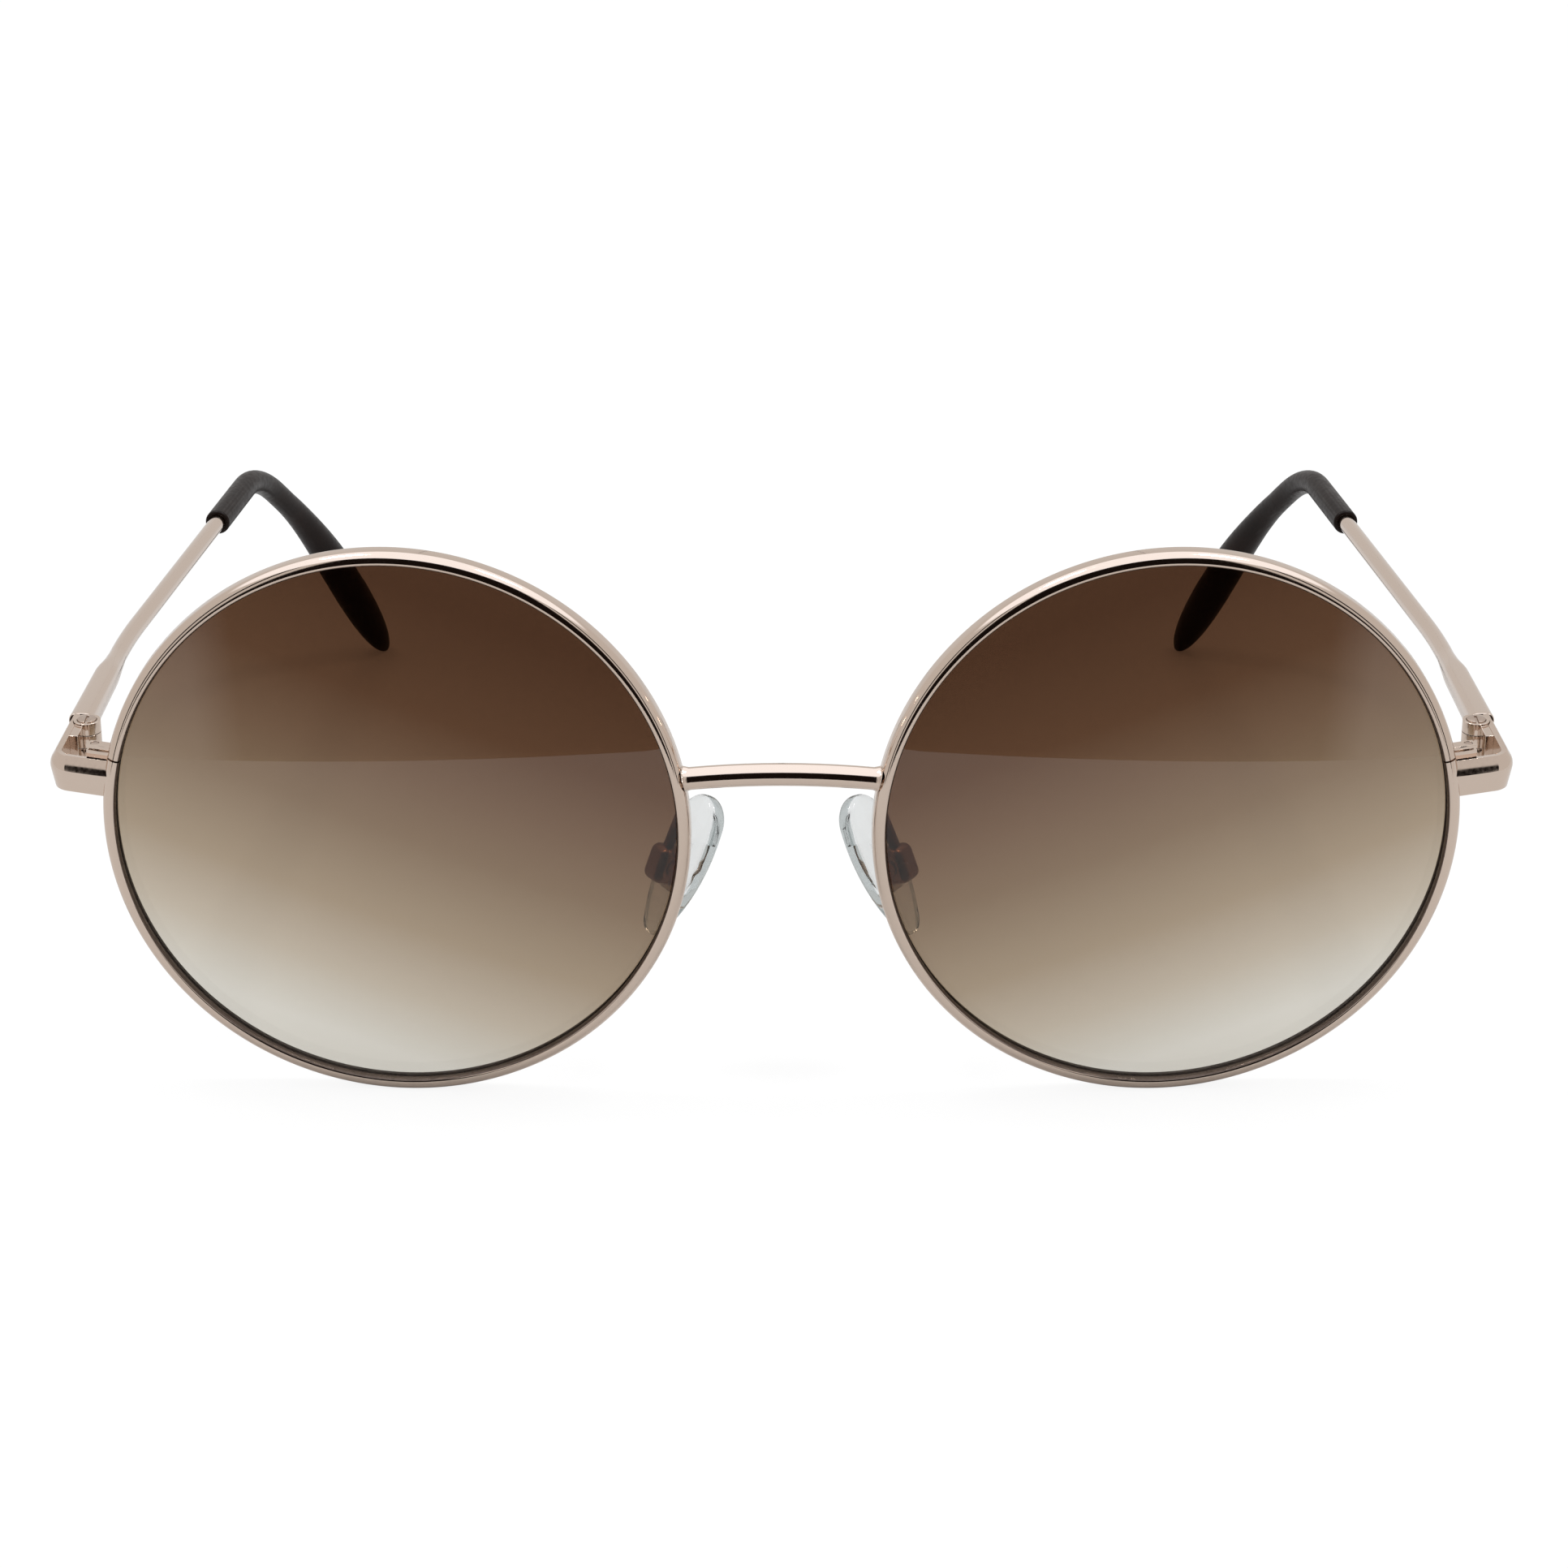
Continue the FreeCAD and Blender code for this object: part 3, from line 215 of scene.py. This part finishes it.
# Rims: nickel silver wire drawn to a rounded section with a lens groove inside, bent round to a ring.
# The ends of each ring meet at a slit beside the temple. Polished, then plated a pale rose gold.
LENS_CENTRE = 37.67
FACE_WRAP = 3.58
RIM_SET = 0.6
RIM_INNER = 27.6
RIM_CREST = 28.0
RIM_OUTER = 28.91
RIM_DEPTH = 2.3
RIM_BACK_ROUND = 0.35
RIM_LIP_ROUND = 0.25
RIM_WALL_REACH = 0.15
GROOVE_RADIUS = 28.2
GROOVE_HALF = 0.3
SLIT_HEIGHT = 7.0
SLIT_GAP = 0.2
RIM_STEPS = 240
INNER_CREST_STEPS = 10
OUTER_CREST_STEPS = 14
BACK_ROUND_STEPS = 5
LIP_ROUND_STEPS = 4
JOIN_WITHIN = 0.0005
SHARP_EDGE = 30
PAINTED_SHADE_SLOT = 1
WIPING_MARKS = 0.4
WIPING_DEPTH = 0.02
GLOSS_SPREAD = 0.4
NOISE_RANGE = (0.3, 0.7)

LENS_PLACE = (STAND @ Matrix.Translation((LENS_CENTRE * MM, RIM_SET * MM, 0))
              @ Matrix.Rotation(math.radians(FACE_WRAP), 4, "Z"))


def plated_metal(name, colour, roughness):
    """Plating, mirror sharp where polished; faint wiping marks, drawn coarse to show, vary its gloss."""
    material, tree = new_material(name)
    place = add_node(tree, "ShaderNodeTexCoord")
    marks = add_node(tree, "ShaderNodeTexNoise", {
        "Vector": place.outputs["Object"], "Scale": 1 / (WIPING_MARKS * MM), "Detail": 3.0})
    gloss = add_node(tree, "ShaderNodeMapRange", {
        0: marks.outputs[0], 1: NOISE_RANGE[0], 2: NOISE_RANGE[1],
        3: (1 - GLOSS_SPREAD) * roughness, 4: (1 + GLOSS_SPREAD) * roughness})
    bump = add_node(tree, "ShaderNodeBump", {
        "Height": marks.outputs[0], "Strength": 0.02, "Distance": WIPING_DEPTH * MM})
    shader = add_node(tree, "ShaderNodeBsdfPrincipled", {
        "Base Color": linear(colour), "Metallic": 1.0, "Roughness": gloss.outputs[0],
        "Normal": bump.outputs[0]})
    add_node(tree, "ShaderNodeOutputMaterial", {"Surface": shader.outputs[0]})
    return material


# The polishing wheel leaves a pale mirror; the wall inside a rim, out of its reach, stays dull, and its
# dark colour is painted shade, the shade of the groove between rim and lens.
rose_gold = plated_metal("polished_rose_gold_plating", "#D2C0B2", 0.08)
rim_wall_painted_shade = plated_metal("unpolished_plating_painted_shade", "#62554D", 0.4)


def arc(centre, radius, start, end, steps):
    """Points of an arc in the plane of a section, each a distance from the axis and a depth."""
    points = []
    for step in range(steps + 1):
        angle = math.radians(start + (end - start) * step / steps)
        points.append((centre[0] + radius * math.cos(angle), centre[1] + radius * math.sin(angle)))
    return points


def draw_section(name, points):
    """A line drawn by extruding one vertex from point to point, left selected in edit mode."""
    bpy.ops.object.select_all(action="DESELECT")
    bpy.ops.mesh.primitive_plane_add(size=MM)
    piece = bpy.context.active_object
    piece.name = name
    piece.data.name = name
    bpy.ops.object.mode_set(mode="EDIT")
    bpy.ops.mesh.merge(type="CENTER")
    bpy.ops.transform.translate(value=(points[0][0] * MM, points[0][1] * MM, 0))
    for (across, along), (next_across, next_along) in zip(points, points[1:]):
        step = ((next_across - across) * MM, (next_along - along) * MM, 0)
        bpy.ops.mesh.extrude_vertices_move(TRANSFORM_OT_translate={"value": step})
    bpy.ops.mesh.select_all(action="SELECT")
    bpy.ops.mesh.remove_doubles(threshold=JOIN_WITHIN * MM)
    return piece


def close_up():
    """Merges the ends of what is drawn, fills its holes and leaves edit mode."""
    bpy.ops.mesh.select_all(action="SELECT")
    bpy.ops.mesh.remove_doubles(threshold=JOIN_WITHIN * MM)
    bpy.ops.mesh.fill_holes(sides=0)
    bpy.ops.mesh.normals_make_consistent(inside=False)
    bpy.ops.object.mode_set(mode="OBJECT")


def turned_piece(name, section, steps, sweep=360):
    """Spins a section of distances from the lens axis and depths about that axis."""
    piece = draw_section(name, section)
    bpy.ops.mesh.spin(steps=steps, angle=math.radians(sweep), center=(0, 0, 0), axis=(0, 1, 0))
    close_up()
    return piece


def pick(piece):
    """Makes a piece the active one and the only one that is selected."""
    bpy.ops.object.select_all(action="DESELECT")
    piece.select_set(True)
    bpy.context.view_layer.objects.active = piece


def mirror_twin(piece, name):
    """A copy of a piece of the wearer's left side, mirrored for the right side."""
    pick(piece)
    bpy.ops.object.duplicate()
    twin = bpy.context.active_object
    twin.name = name
    twin.data.name = name
    bpy.ops.object.mode_set(mode="EDIT")
    bpy.ops.mesh.select_all(action="SELECT")
    bpy.ops.transform.resize(value=(-1, 1, 1), center_override=(0, 0, 0))
    bpy.ops.mesh.normals_make_consistent(inside=False)
    bpy.ops.object.mode_set(mode="OBJECT")
    return twin


def finish_piece(piece, node, materials, sharp=SHARP_EDGE):
    """Shades a piece, gives it its materials, and lets it stand for a CAD node and move with its body."""
    pick(piece)
    bpy.ops.object.shade_smooth_by_angle(angle=math.radians(sharp))
    while len(piece.data.materials) < len(materials):
        piece.data.materials.append(None)
    for place, material in enumerate(materials):
        piece.data.materials[place] = material
    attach(piece, frame["nodes"][node]["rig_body"])
    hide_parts(node)


inner_quarter = RIM_CREST - RIM_INNER
outer_quarter = RIM_OUTER - RIM_CREST
rim_back = RIM_DEPTH / 2
rim_section = arc((RIM_CREST, inner_quarter - rim_back), inner_quarter, 180, 270, INNER_CREST_STEPS)
rim_section += arc((RIM_CREST, outer_quarter - rim_back), outer_quarter, 270, 360, OUTER_CREST_STEPS)
rim_section += arc((RIM_OUTER - RIM_BACK_ROUND, rim_back - RIM_BACK_ROUND), RIM_BACK_ROUND, 0, 90,
                   BACK_ROUND_STEPS)
rim_section += arc((RIM_INNER + RIM_LIP_ROUND, rim_back - RIM_LIP_ROUND), RIM_LIP_ROUND, 90, 180,
                   LIP_ROUND_STEPS)
rim_section += [(RIM_INNER, GROOVE_HALF), (GROOVE_RADIUS, 0), (RIM_INNER, -GROOVE_HALF), rim_section[0]]
gap_angle = math.degrees(SLIT_GAP / RIM_OUTER)
slit_angle = math.degrees(math.asin(SLIT_HEIGHT / RIM_OUTER))
rim = turned_piece("rim_ring_left", rim_section, RIM_STEPS, 360 - gap_angle)
# The faces of the inner wall take the dull plating with its painted shade.
for face in rim.data.polygons:
    if math.hypot(face.center.x, face.center.z) < (RIM_INNER + RIM_WALL_REACH) * MM:
        face.material_index = PAINTED_SHADE_SLOT
rim.data.transform(LENS_PLACE @ Matrix.Rotation(math.radians(gap_angle / 2 - slit_angle), 4, "Y"))
for piece, node in ((rim, "rim_left"), (mirror_twin(rim, "rim_ring_right"), "rim_right")):
    finish_piece(piece, node, [rose_gold, rim_wall_painted_shade])

# Lenses: cast resin, surfaced to a shallow curve on both faces, with a bevel that sits in the groove.
# Dipped in brown dye and drawn out slowly, so the tint fades from the top down; the fade is drawn
# tilted, lighter towards the outer side.
LENS_BODY = 27.55
LENS_EDGE = 28.15
LENS_BEVEL = 0.25
LENS_FRONT_EDGE = 0.35
LENS_BACK_EDGE = 1.1
LENS_CURVE = 175
LENS_RINGS = 18
LENS_STEPS = 192
GROUND_WITHIN = 0.05
WHEEL_MARKS = 0.3
WHEEL_MARK_DEPTH = 0.02
TINT_TOP = 56.5
TINT_BOTTOM = 1.5
TINT_TILT = 0.38
TINT = [
    (0.04, "#E1DDD3"),
    (0.18, "#C6BAA8"),
    (0.32, "#A8967F"),
    (0.50, "#87715B"),
    (0.62, "#775E4A"),
    (0.75, "#624633"),
    (0.96, "#513727"),
]


def sag(curve, radius):
    """How far a face of this curve stands out beyond its edge, at a distance from the lens axis."""
    return math.sqrt(curve ** 2 - radius ** 2) - math.sqrt(curve ** 2 - LENS_BODY ** 2)


# Polished resin: clear reflections, as weak as under a thin coat, over a colour that deepens with height.
dyed_resin, tree = new_material("dip_dyed_resin")
place = add_node(tree, "ShaderNodeTexCoord")
level = add_node(tree, "ShaderNodeSeparateXYZ", {0: place.outputs["Object"]})
outward = add_node(tree, "ShaderNodeMath", {0: level.outputs["X"]}, operation="ABSOLUTE")
outward = add_node(tree, "ShaderNodeMath", {0: outward.outputs[0], 1: LENS_CENTRE * MM}, operation="SUBTRACT")
depth = add_node(tree, "ShaderNodeMath", {
    0: outward.outputs[0], 1: -TINT_TILT, 2: level.outputs["Z"]}, operation="MULTIPLY_ADD")
height = add_node(tree, "ShaderNodeMapRange", {0: depth.outputs[0], 1: TINT_BOTTOM * MM, 2: TINT_TOP * MM})
tint = add_node(tree, "ShaderNodeValToRGB", {0: height.outputs[0]})
while len(tint.color_ramp.elements) < len(TINT):
    tint.color_ramp.elements.new(0.5)
for element, (position, colour) in zip(tint.color_ramp.elements, TINT):
    element.position = position
    element.color = linear(colour)
shader = add_node(tree, "ShaderNodeBsdfPrincipled", {
    "Base Color": tint.outputs[0], "Roughness": 0.0, "IOR": 1.5, "Specular IOR Level": 0.22,
    "Transmission Weight": 1.0})
add_node(tree, "ShaderNodeOutputMaterial", {"Surface": shader.outputs[0]})

# Ground resin: the edge left matt by the bevelling wheel. Its dark brown is painted shade, the dark line
# seen through the lens inside the rim. The marks of the wheel are drawn coarse to show.
ground_edge_painted_shade, tree = new_material("wheel_ground_edge_painted_shade")
place = add_node(tree, "ShaderNodeTexCoord")
scratches = add_node(tree, "ShaderNodeTexNoise", {
    "Vector": place.outputs["Object"], "Scale": 1 / (WHEEL_MARKS * MM), "Detail": 4.0})
shade = add_node(tree, "ShaderNodeMix", {
    0: scratches.outputs[0], 6: linear("#3B302B"), 7: linear("#564A44")}, data_type="RGBA")
bump = add_node(tree, "ShaderNodeBump", {
    "Height": scratches.outputs[0], "Strength": 0.3, "Distance": WHEEL_MARK_DEPTH * MM})
shader = add_node(tree, "ShaderNodeBsdfPrincipled", {
    "Base Color": shade.outputs[2], "Roughness": 0.7, "IOR": 1.5, "Normal": bump.outputs[0]})
add_node(tree, "ShaderNodeOutputMaterial", {"Surface": shader.outputs[0]})

back_curve = LENS_CURVE - LENS_FRONT_EDGE - LENS_BACK_EDGE
rings = [LENS_BODY * ring / LENS_RINGS for ring in range(LENS_RINGS + 1)]
lens_section = [(ring, -LENS_FRONT_EDGE - sag(LENS_CURVE, ring)) for ring in rings]
lens_section += [(LENS_BODY, -LENS_BEVEL), (LENS_EDGE, 0), (LENS_BODY, LENS_BEVEL)]
lens_section += [(ring, LENS_BACK_EDGE - sag(back_curve, ring)) for ring in reversed(rings)]
lens = turned_piece("lens_blank_left", lens_section, LENS_STEPS)
# The ground edge faces take the matt resin with its painted shade.
for face in lens.data.polygons:
    if math.hypot(face.center.x, face.center.z) > (LENS_BODY - GROUND_WITHIN) * MM:
        face.material_index = PAINTED_SHADE_SLOT
lens.data.transform(LENS_PLACE)
for piece, node in ((lens, "lens_left"), (mirror_twin(lens, "lens_blank_right"), "lens_right")):
    finish_piece(piece, node, [dyed_resin, ground_edge_painted_shade])

# Bridge, end pieces, closing blocks and hinges: nickel silver bar, strip and rod, stamped, bent and turned.
# All but the hinge leaves are soldered to the rims or to each other; all are polished and plated alike.
FLAT_WITHIN = 0.5
EDGE_STEPS = 3
EDGE_ANGLE = 40
STAMPED_EDGE = 0.08
BRIDGE_STRETCH = 1.012
END_PIECE_PUSH = 0.06


def finished_copy(node, material, edge=0.0):
    """A piece with the shape of a CAD node, its facets joined and its sharp edges polished off."""
    piece = bpy.data.objects.new(node + "_finished", frame["nodes"][node].data.copy())
    bpy.context.scene.collection.objects.link(piece)
    pick(piece)
    bpy.ops.object.mode_set(mode="EDIT")
    bpy.ops.mesh.select_all(action="SELECT")
    bpy.ops.mesh.remove_doubles(threshold=JOIN_WITHIN * MM)
    if edge:
        bpy.ops.mesh.dissolve_limited(angle_limit=math.radians(FLAT_WITHIN))
    bpy.ops.object.mode_set(mode="OBJECT")
    if edge:
        rounding = piece.modifiers.new("polished_edges", "BEVEL")
        rounding.width = edge * MM
        rounding.segments = EDGE_STEPS
        rounding.limit_method = "ANGLE"
        rounding.angle_limit = math.radians(EDGE_ANGLE)
        bpy.ops.object.modifier_apply(modifier=rounding.name)
    finish_piece(piece, node, [material])
    if edge:
        evening = piece.modifiers.new("faces_stay_flat", "WEIGHTED_NORMAL")
        evening.keep_sharp = True
        bpy.ops.object.modifier_apply(modifier=evening.name)
    return piece


def push_home(piece, stretch=1.0, shift=0.0):
    """Closes the solder gap of a finished piece: stretched across the front, or shifted sideways."""
    pick(piece)
    bpy.ops.object.mode_set(mode="EDIT")
    bpy.ops.mesh.select_all(action="SELECT")
    bpy.ops.transform.resize(value=(stretch, 1, 1), center_override=(0, 0, 0))
    bpy.ops.transform.translate(value=(shift * MM, 0, 0))
    bpy.ops.object.mode_set(mode="OBJECT")


push_home(finished_copy("bridge", rose_gold), stretch=BRIDGE_STRETCH)
for side, shift in (("left", -END_PIECE_PUSH), ("right", END_PIECE_PUSH)):
    push_home(finished_copy(f"end_piece_{side}", rose_gold, edge=STAMPED_EDGE), shift=shift)
    for part in ("closing_block_upper", "closing_block_lower", "hinge_knuckles", "hinge_leaf"):
        finished_copy(f"{part}_{side}", rose_gold, edge=STAMPED_EDGE)

# Temples: a nickel silver rod with the housing of its spring soldered to it, polished until no seam shows.
# Behind the housing it tapers to a round wire, bowed to the head and bent down round the ear inside the tip.
# Each ring of the housing has its distance behind the hinge and its shares of the full width and height.
HINGE = (69.3, 12.1, 4.4)
TEMPLE_TOE = 0.68
TEMPLE_DROP = 4.4
HOUSING_MIDDLE = (0.965, -0.6)
HOUSING_HALF = (1.285, 1.27)
HOUSING_SQUARENESS = 3.4
HOUSING = [
    (1.92, 0.93, 0.93),
    (1.98, 0.985, 0.985),
    (2.12, 1, 1),
    (2.4, 1, 1),
    (16.4, 0.95, 0.905),
    (16.8, 0.945, 0.9),
]
WIRE_MIDDLE = (0.92, -0.6)
WIRE_RADIUS = 0.94
SHOULDER_BACK = 21.2
SHOULDER_RADIUS = 1.05
TAPER_END = 23.4
BOW_START = 23.777
BOW_RADIUS = 140
BOW = 4.6
BOW_STEPS = 8
BOW_TO_BEND = 53.27
BEND_RADIUS = 17
BEND = 39.5
BEND_STEPS = 16
BEND_ROLL = 19.4
CORE_TAIL = 5.9
RING_POINTS = 48
ON_RING = 0.001
BLEND_CUTS = 10
SHANK_SLOT = ((0.15, -0.65, 0.9), (1.15, 0.45, 5.05))
SPRING_AXIS = (0.65, -0.1)
BORES = [(0.37, 0.9, 15.0), (0.62, 5.8, 15.0)]
BORE_STEPS = 32
TEMPLE_SHARP_EDGE = 35
TEMPLE_PLACE = (STAND @ Matrix.Translation(Vector(HINGE) * MM)
                @ Matrix.Rotation(math.radians(TEMPLE_TOE), 4, "Z")
                @ Matrix.Rotation(math.radians(-TEMPLE_DROP - 90), 4, "X"))


def draw_out(step):
    """Extrudes the selected edges by a step in metres."""
    bpy.ops.mesh.extrude_edges_move(TRANSFORM_OT_translate={"value": step})


def cut_away(piece, tool):
    """Takes the shape of a tool out of a piece and removes the tool."""
    removal = piece.modifiers.new("cut", "BOOLEAN")
    removal.operation = "DIFFERENCE"
    removal.solver = "EXACT"
    removal.object = tool
    pick(piece)
    bpy.ops.object.modifier_apply(modifier=removal.name)
    bpy.data.objects.remove(tool)


# In the drawing of the temple X points outwards, Y down and Z back along the wire.
corner_power = 2 / HOUSING_SQUARENESS
housing_section = []
for point in range(RING_POINTS + 1):
    angle = 2 * math.pi * point / RING_POINTS
    across, down = math.cos(angle), math.sin(angle)
    housing_section.append((
        HOUSING_MIDDLE[0] + HOUSING_HALF[0] * math.copysign(abs(across) ** corner_power, across),
        HOUSING_MIDDLE[1] + HOUSING_HALF[1] * math.copysign(abs(down) ** corner_power, down)))
temple = draw_section("temple_rod_left", housing_section)
housing_middle = Vector(HOUSING_MIDDLE) * MM
back, wide, high = HOUSING[0]
bpy.ops.transform.resize(value=(wide, high, 1), center_override=(*housing_middle, 0))
bpy.ops.transform.translate(value=(0, 0, back * MM))
for next_back, next_wide, next_high in HOUSING[1:]:
    draw_out((0, 0, (next_back - back) * MM))
    bpy.ops.transform.resize(value=(next_wide / wide, next_high / high, 1),
                             center_override=(*housing_middle, next_back * MM))
    back, wide, high = next_back, next_wide, next_high

# Spin turns the other way round its axis than a rotation matrix, so its axes are reversed.
bow_turn = Matrix.Rotation(math.radians(BOW), 4, "Y").inverted()
ear_turn = bow_turn @ Matrix.Rotation(math.radians(BEND_ROLL), 4, "Z")
heading = bow_turn @ Vector((0, 0, 1))
bend_axis = (ear_turn @ Vector((-1, 0, 0))).normalized()
inward = (ear_turn @ Vector((0, 1, 0))).normalized()
tail = Matrix.Rotation(math.radians(BEND), 4, bend_axis) @ heading
wire_middle = Vector(WIRE_MIDDLE) * MM
narrowing = WIRE_RADIUS / SHOULDER_RADIUS
bpy.ops.mesh.primitive_circle_add(vertices=RING_POINTS, radius=SHOULDER_RADIUS * MM,
                                  location=(*wire_middle, SHOULDER_BACK * MM))
draw_out((0, 0, (TAPER_END - SHOULDER_BACK) * MM))
bpy.ops.transform.resize(value=(narrowing, narrowing, 1), center_override=(*wire_middle, TAPER_END * MM))
draw_out((0, 0, (BOW_START - TAPER_END) * MM))
bow_centre = Vector((WIRE_MIDDLE[0] - BOW_RADIUS, WIRE_MIDDLE[1], BOW_START))
bpy.ops.mesh.spin(steps=BOW_STEPS, angle=math.radians(BOW), center=bow_centre * MM, axis=(0, 1, 0))
draw_out(heading * BOW_TO_BEND * MM)
bow_end = bow_centre + bow_turn @ Vector((BOW_RADIUS, 0, 0))
bend_centre = bow_end + heading * BOW_TO_BEND + inward * BEND_RADIUS
bpy.ops.mesh.spin(steps=BEND_STEPS, angle=math.radians(BEND), center=bend_centre * MM, axis=-bend_axis)
draw_out(tail * CORE_TAIL * MM)
bpy.ops.mesh.select_mode(type="VERT")
bpy.ops.mesh.select_all(action="DESELECT")
bpy.ops.object.mode_set(mode="OBJECT")
for vertex in temple.data.vertices:
    back = vertex.co.z / MM
    vertex.select = min(abs(back - HOUSING[-1][0]), abs(back - SHOULDER_BACK)) < ON_RING
bpy.ops.object.mode_set(mode="EDIT")
bpy.ops.mesh.bridge_edge_loops(number_cuts=BLEND_CUTS, interpolation="SURFACE", smoothness=1.0)
close_up()
for radius, start, end in BORES:
    bpy.ops.mesh.primitive_cylinder_add(vertices=BORE_STEPS, radius=radius * MM, depth=(end - start) * MM,
                                        location=(*Vector(SPRING_AXIS) * MM, (start + end) / 2 * MM))
    cut_away(temple, bpy.context.active_object)
slot_near, slot_far = (Vector(corner) for corner in SHANK_SLOT)
bpy.ops.mesh.primitive_cube_add(size=1, location=(slot_near + slot_far) / 2 * MM,
                                scale=(slot_far - slot_near) * MM)
cut_away(temple, bpy.context.active_object)
temple.data.transform(TEMPLE_PLACE)
for piece, side in ((temple, "left"), (mirror_twin(temple, "temple_rod_right"), "right")):
    finish_piece(piece, f"temple_{side}", [rose_gold], sharp=TEMPLE_SHARP_EDGE)
    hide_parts(f"spring_box_{side}")

# Screws: turned from steel rod, slotted, and plated less evenly than the frame, so they look a little duller.
# Springs and their stops: drawn and turned steel, oiled, out of sight inside the boxes.
SCREW_EDGE = 0.05
screw_plating = plated_metal("barrel_plated_screw_steel", "#B9A698", 0.2)
spring_steel = plated_metal("oiled_drawn_spring_steel", "#8C8A87", 0.3)
for side in ("left", "right"):
    for part in ("closing_screw", "hinge_screw"):
        finished_copy(f"{part}_{side}", screw_plating, edge=SCREW_EDGE)
    finished_copy(f"spring_stop_{side}", spring_steel)
    spring = finished_copy(f"hinge_spring_{side}", spring_steel)
    front_end = min((vertex.co for vertex in spring.data.vertices), key=lambda place: place.y).copy()
    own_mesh(spring)

# Temple tips: dark brown acetate, heated and pushed over the wire, then tumbled to a soft shine.
# Tumbling leaves fine dents, drawn 0.6 mm apart to show, and the brown is clouded over a few millimetres.
TIP_CLOUDS = 4
TIP_DENTS = 0.6
TIP_DENT_DEPTH = 0.05
TIP_GLOSS = (0.28, 0.42)
tip_acetate, tree = new_material("tumbled_brown_acetate")
place = add_node(tree, "ShaderNodeTexCoord")
clouds = add_node(tree, "ShaderNodeTexNoise", {
    "Vector": place.outputs["Object"], "Scale": 1 / (TIP_CLOUDS * MM), "Detail": 3.0})
dents = add_node(tree, "ShaderNodeTexNoise", {
    "Vector": place.outputs["Object"], "Scale": 1 / (TIP_DENTS * MM), "Detail": 2.0})
brown = add_node(tree, "ShaderNodeMix", {
    0: clouds.outputs[0], 6: linear("#0A0605"), 7: linear("#1C100B")}, data_type="RGBA")
gloss = add_node(tree, "ShaderNodeMapRange", {
    0: dents.outputs[0], 1: NOISE_RANGE[0], 2: NOISE_RANGE[1], 3: TIP_GLOSS[0], 4: TIP_GLOSS[1]})
bump = add_node(tree, "ShaderNodeBump", {
    "Height": dents.outputs[0], "Strength": 0.1, "Distance": TIP_DENT_DEPTH * MM})
shader = add_node(tree, "ShaderNodeBsdfPrincipled", {
    "Base Color": brown.outputs[2], "Roughness": gloss.outputs[0], "IOR": 1.48, "Specular IOR Level": 0.12,
    "Normal": bump.outputs[0]})
add_node(tree, "ShaderNodeOutputMaterial", {"Surface": shader.outputs[0]})
for side in ("left", "right"):
    finished_copy(f"temple_tip_{side}", tip_acetate)

# Pad arms, boxes, lugs and screws: wire, small stampings and turned pins, behind the rims where no wheel
# reaches. All but the lugs, which are polished before the pads are moulded round them, are plated without
# polish, in a copper darker than the front; the darkness is painted shade of their place behind the rims.
# The arms are soldered on, and a screw holds each lug in its box.
pad_plating_painted_shade = plated_metal("unpolished_copper_painted_shade", "#8A6657", 0.2)
for side in ("left", "right"):
    finished_copy(f"pad_arm_{side}", pad_plating_painted_shade)
    finished_copy(f"pad_box_{side}", pad_plating_painted_shade, edge=STAMPED_EDGE)
    finished_copy(f"pad_lug_{side}", rose_gold, edge=STAMPED_EDGE)
    finished_copy(f"pad_screw_{side}", pad_plating_painted_shade, edge=SCREW_EDGE)

# Nose pads: clear silicone moulded round the plate of the lug, a teardrop with rounded edges.
# Moulding leaves soft flow marks 2 mm apart; the grey of the edges is painted shade, the dark outline
# that clear silicone shows where it turns away.
PAD_SPLAY = 35
PAD_TILT = 24
PAD_EDGE_TURN = 0.42
FLOW_MARKS = 2
PAD_GLOSS = (0.0, 0.03)


def clear_silicone(name, colour):
    """Clear silicone with a wet shine that the flow marks vary a little."""
    material, tree = new_material(name)
    place = add_node(tree, "ShaderNodeTexCoord")
    flow = add_node(tree, "ShaderNodeTexNoise", {
        "Vector": place.outputs["Object"], "Scale": 1 / (FLOW_MARKS * MM), "Detail": 1.0})
    gloss = add_node(tree, "ShaderNodeMapRange", {
        0: flow.outputs[0], 1: NOISE_RANGE[0], 2: NOISE_RANGE[1], 3: PAD_GLOSS[0], 4: PAD_GLOSS[1]})
    shader = add_node(tree, "ShaderNodeBsdfPrincipled", {
        "Base Color": linear(colour), "Roughness": gloss.outputs[0], "IOR": 1.3, "Transmission Weight": 1.0})
    add_node(tree, "ShaderNodeOutputMaterial", {"Surface": shader.outputs[0]})
    return material


pad_silicone = clear_silicone("clear_moulded_silicone", "#EEF0F0")
pad_edge_painted_shade = clear_silicone("clear_silicone_edge_painted_shade", "#A3ABAB")
pad_turn = (STAND @ Matrix.Rotation(math.radians(-PAD_SPLAY), 4, "Z")
            @ Matrix.Rotation(math.radians(-PAD_TILT), 4, "Y"))
for side in ("left", "right"):
    piece = finished_copy(f"nose_pad_{side}", pad_silicone)
    piece.data.materials.append(pad_edge_painted_shade)
    outward = pad_turn.to_3x3() @ Vector((1, 0, 0))
    if side == "right":
        outward.x = -outward.x
    # Faces that turn away from the pad's face take the grey of painted shade.
    for face in piece.data.polygons:
        if abs(face.normal.dot(outward)) < PAD_EDGE_TURN:
            face.material_index = PAINTED_SHADE_SLOT
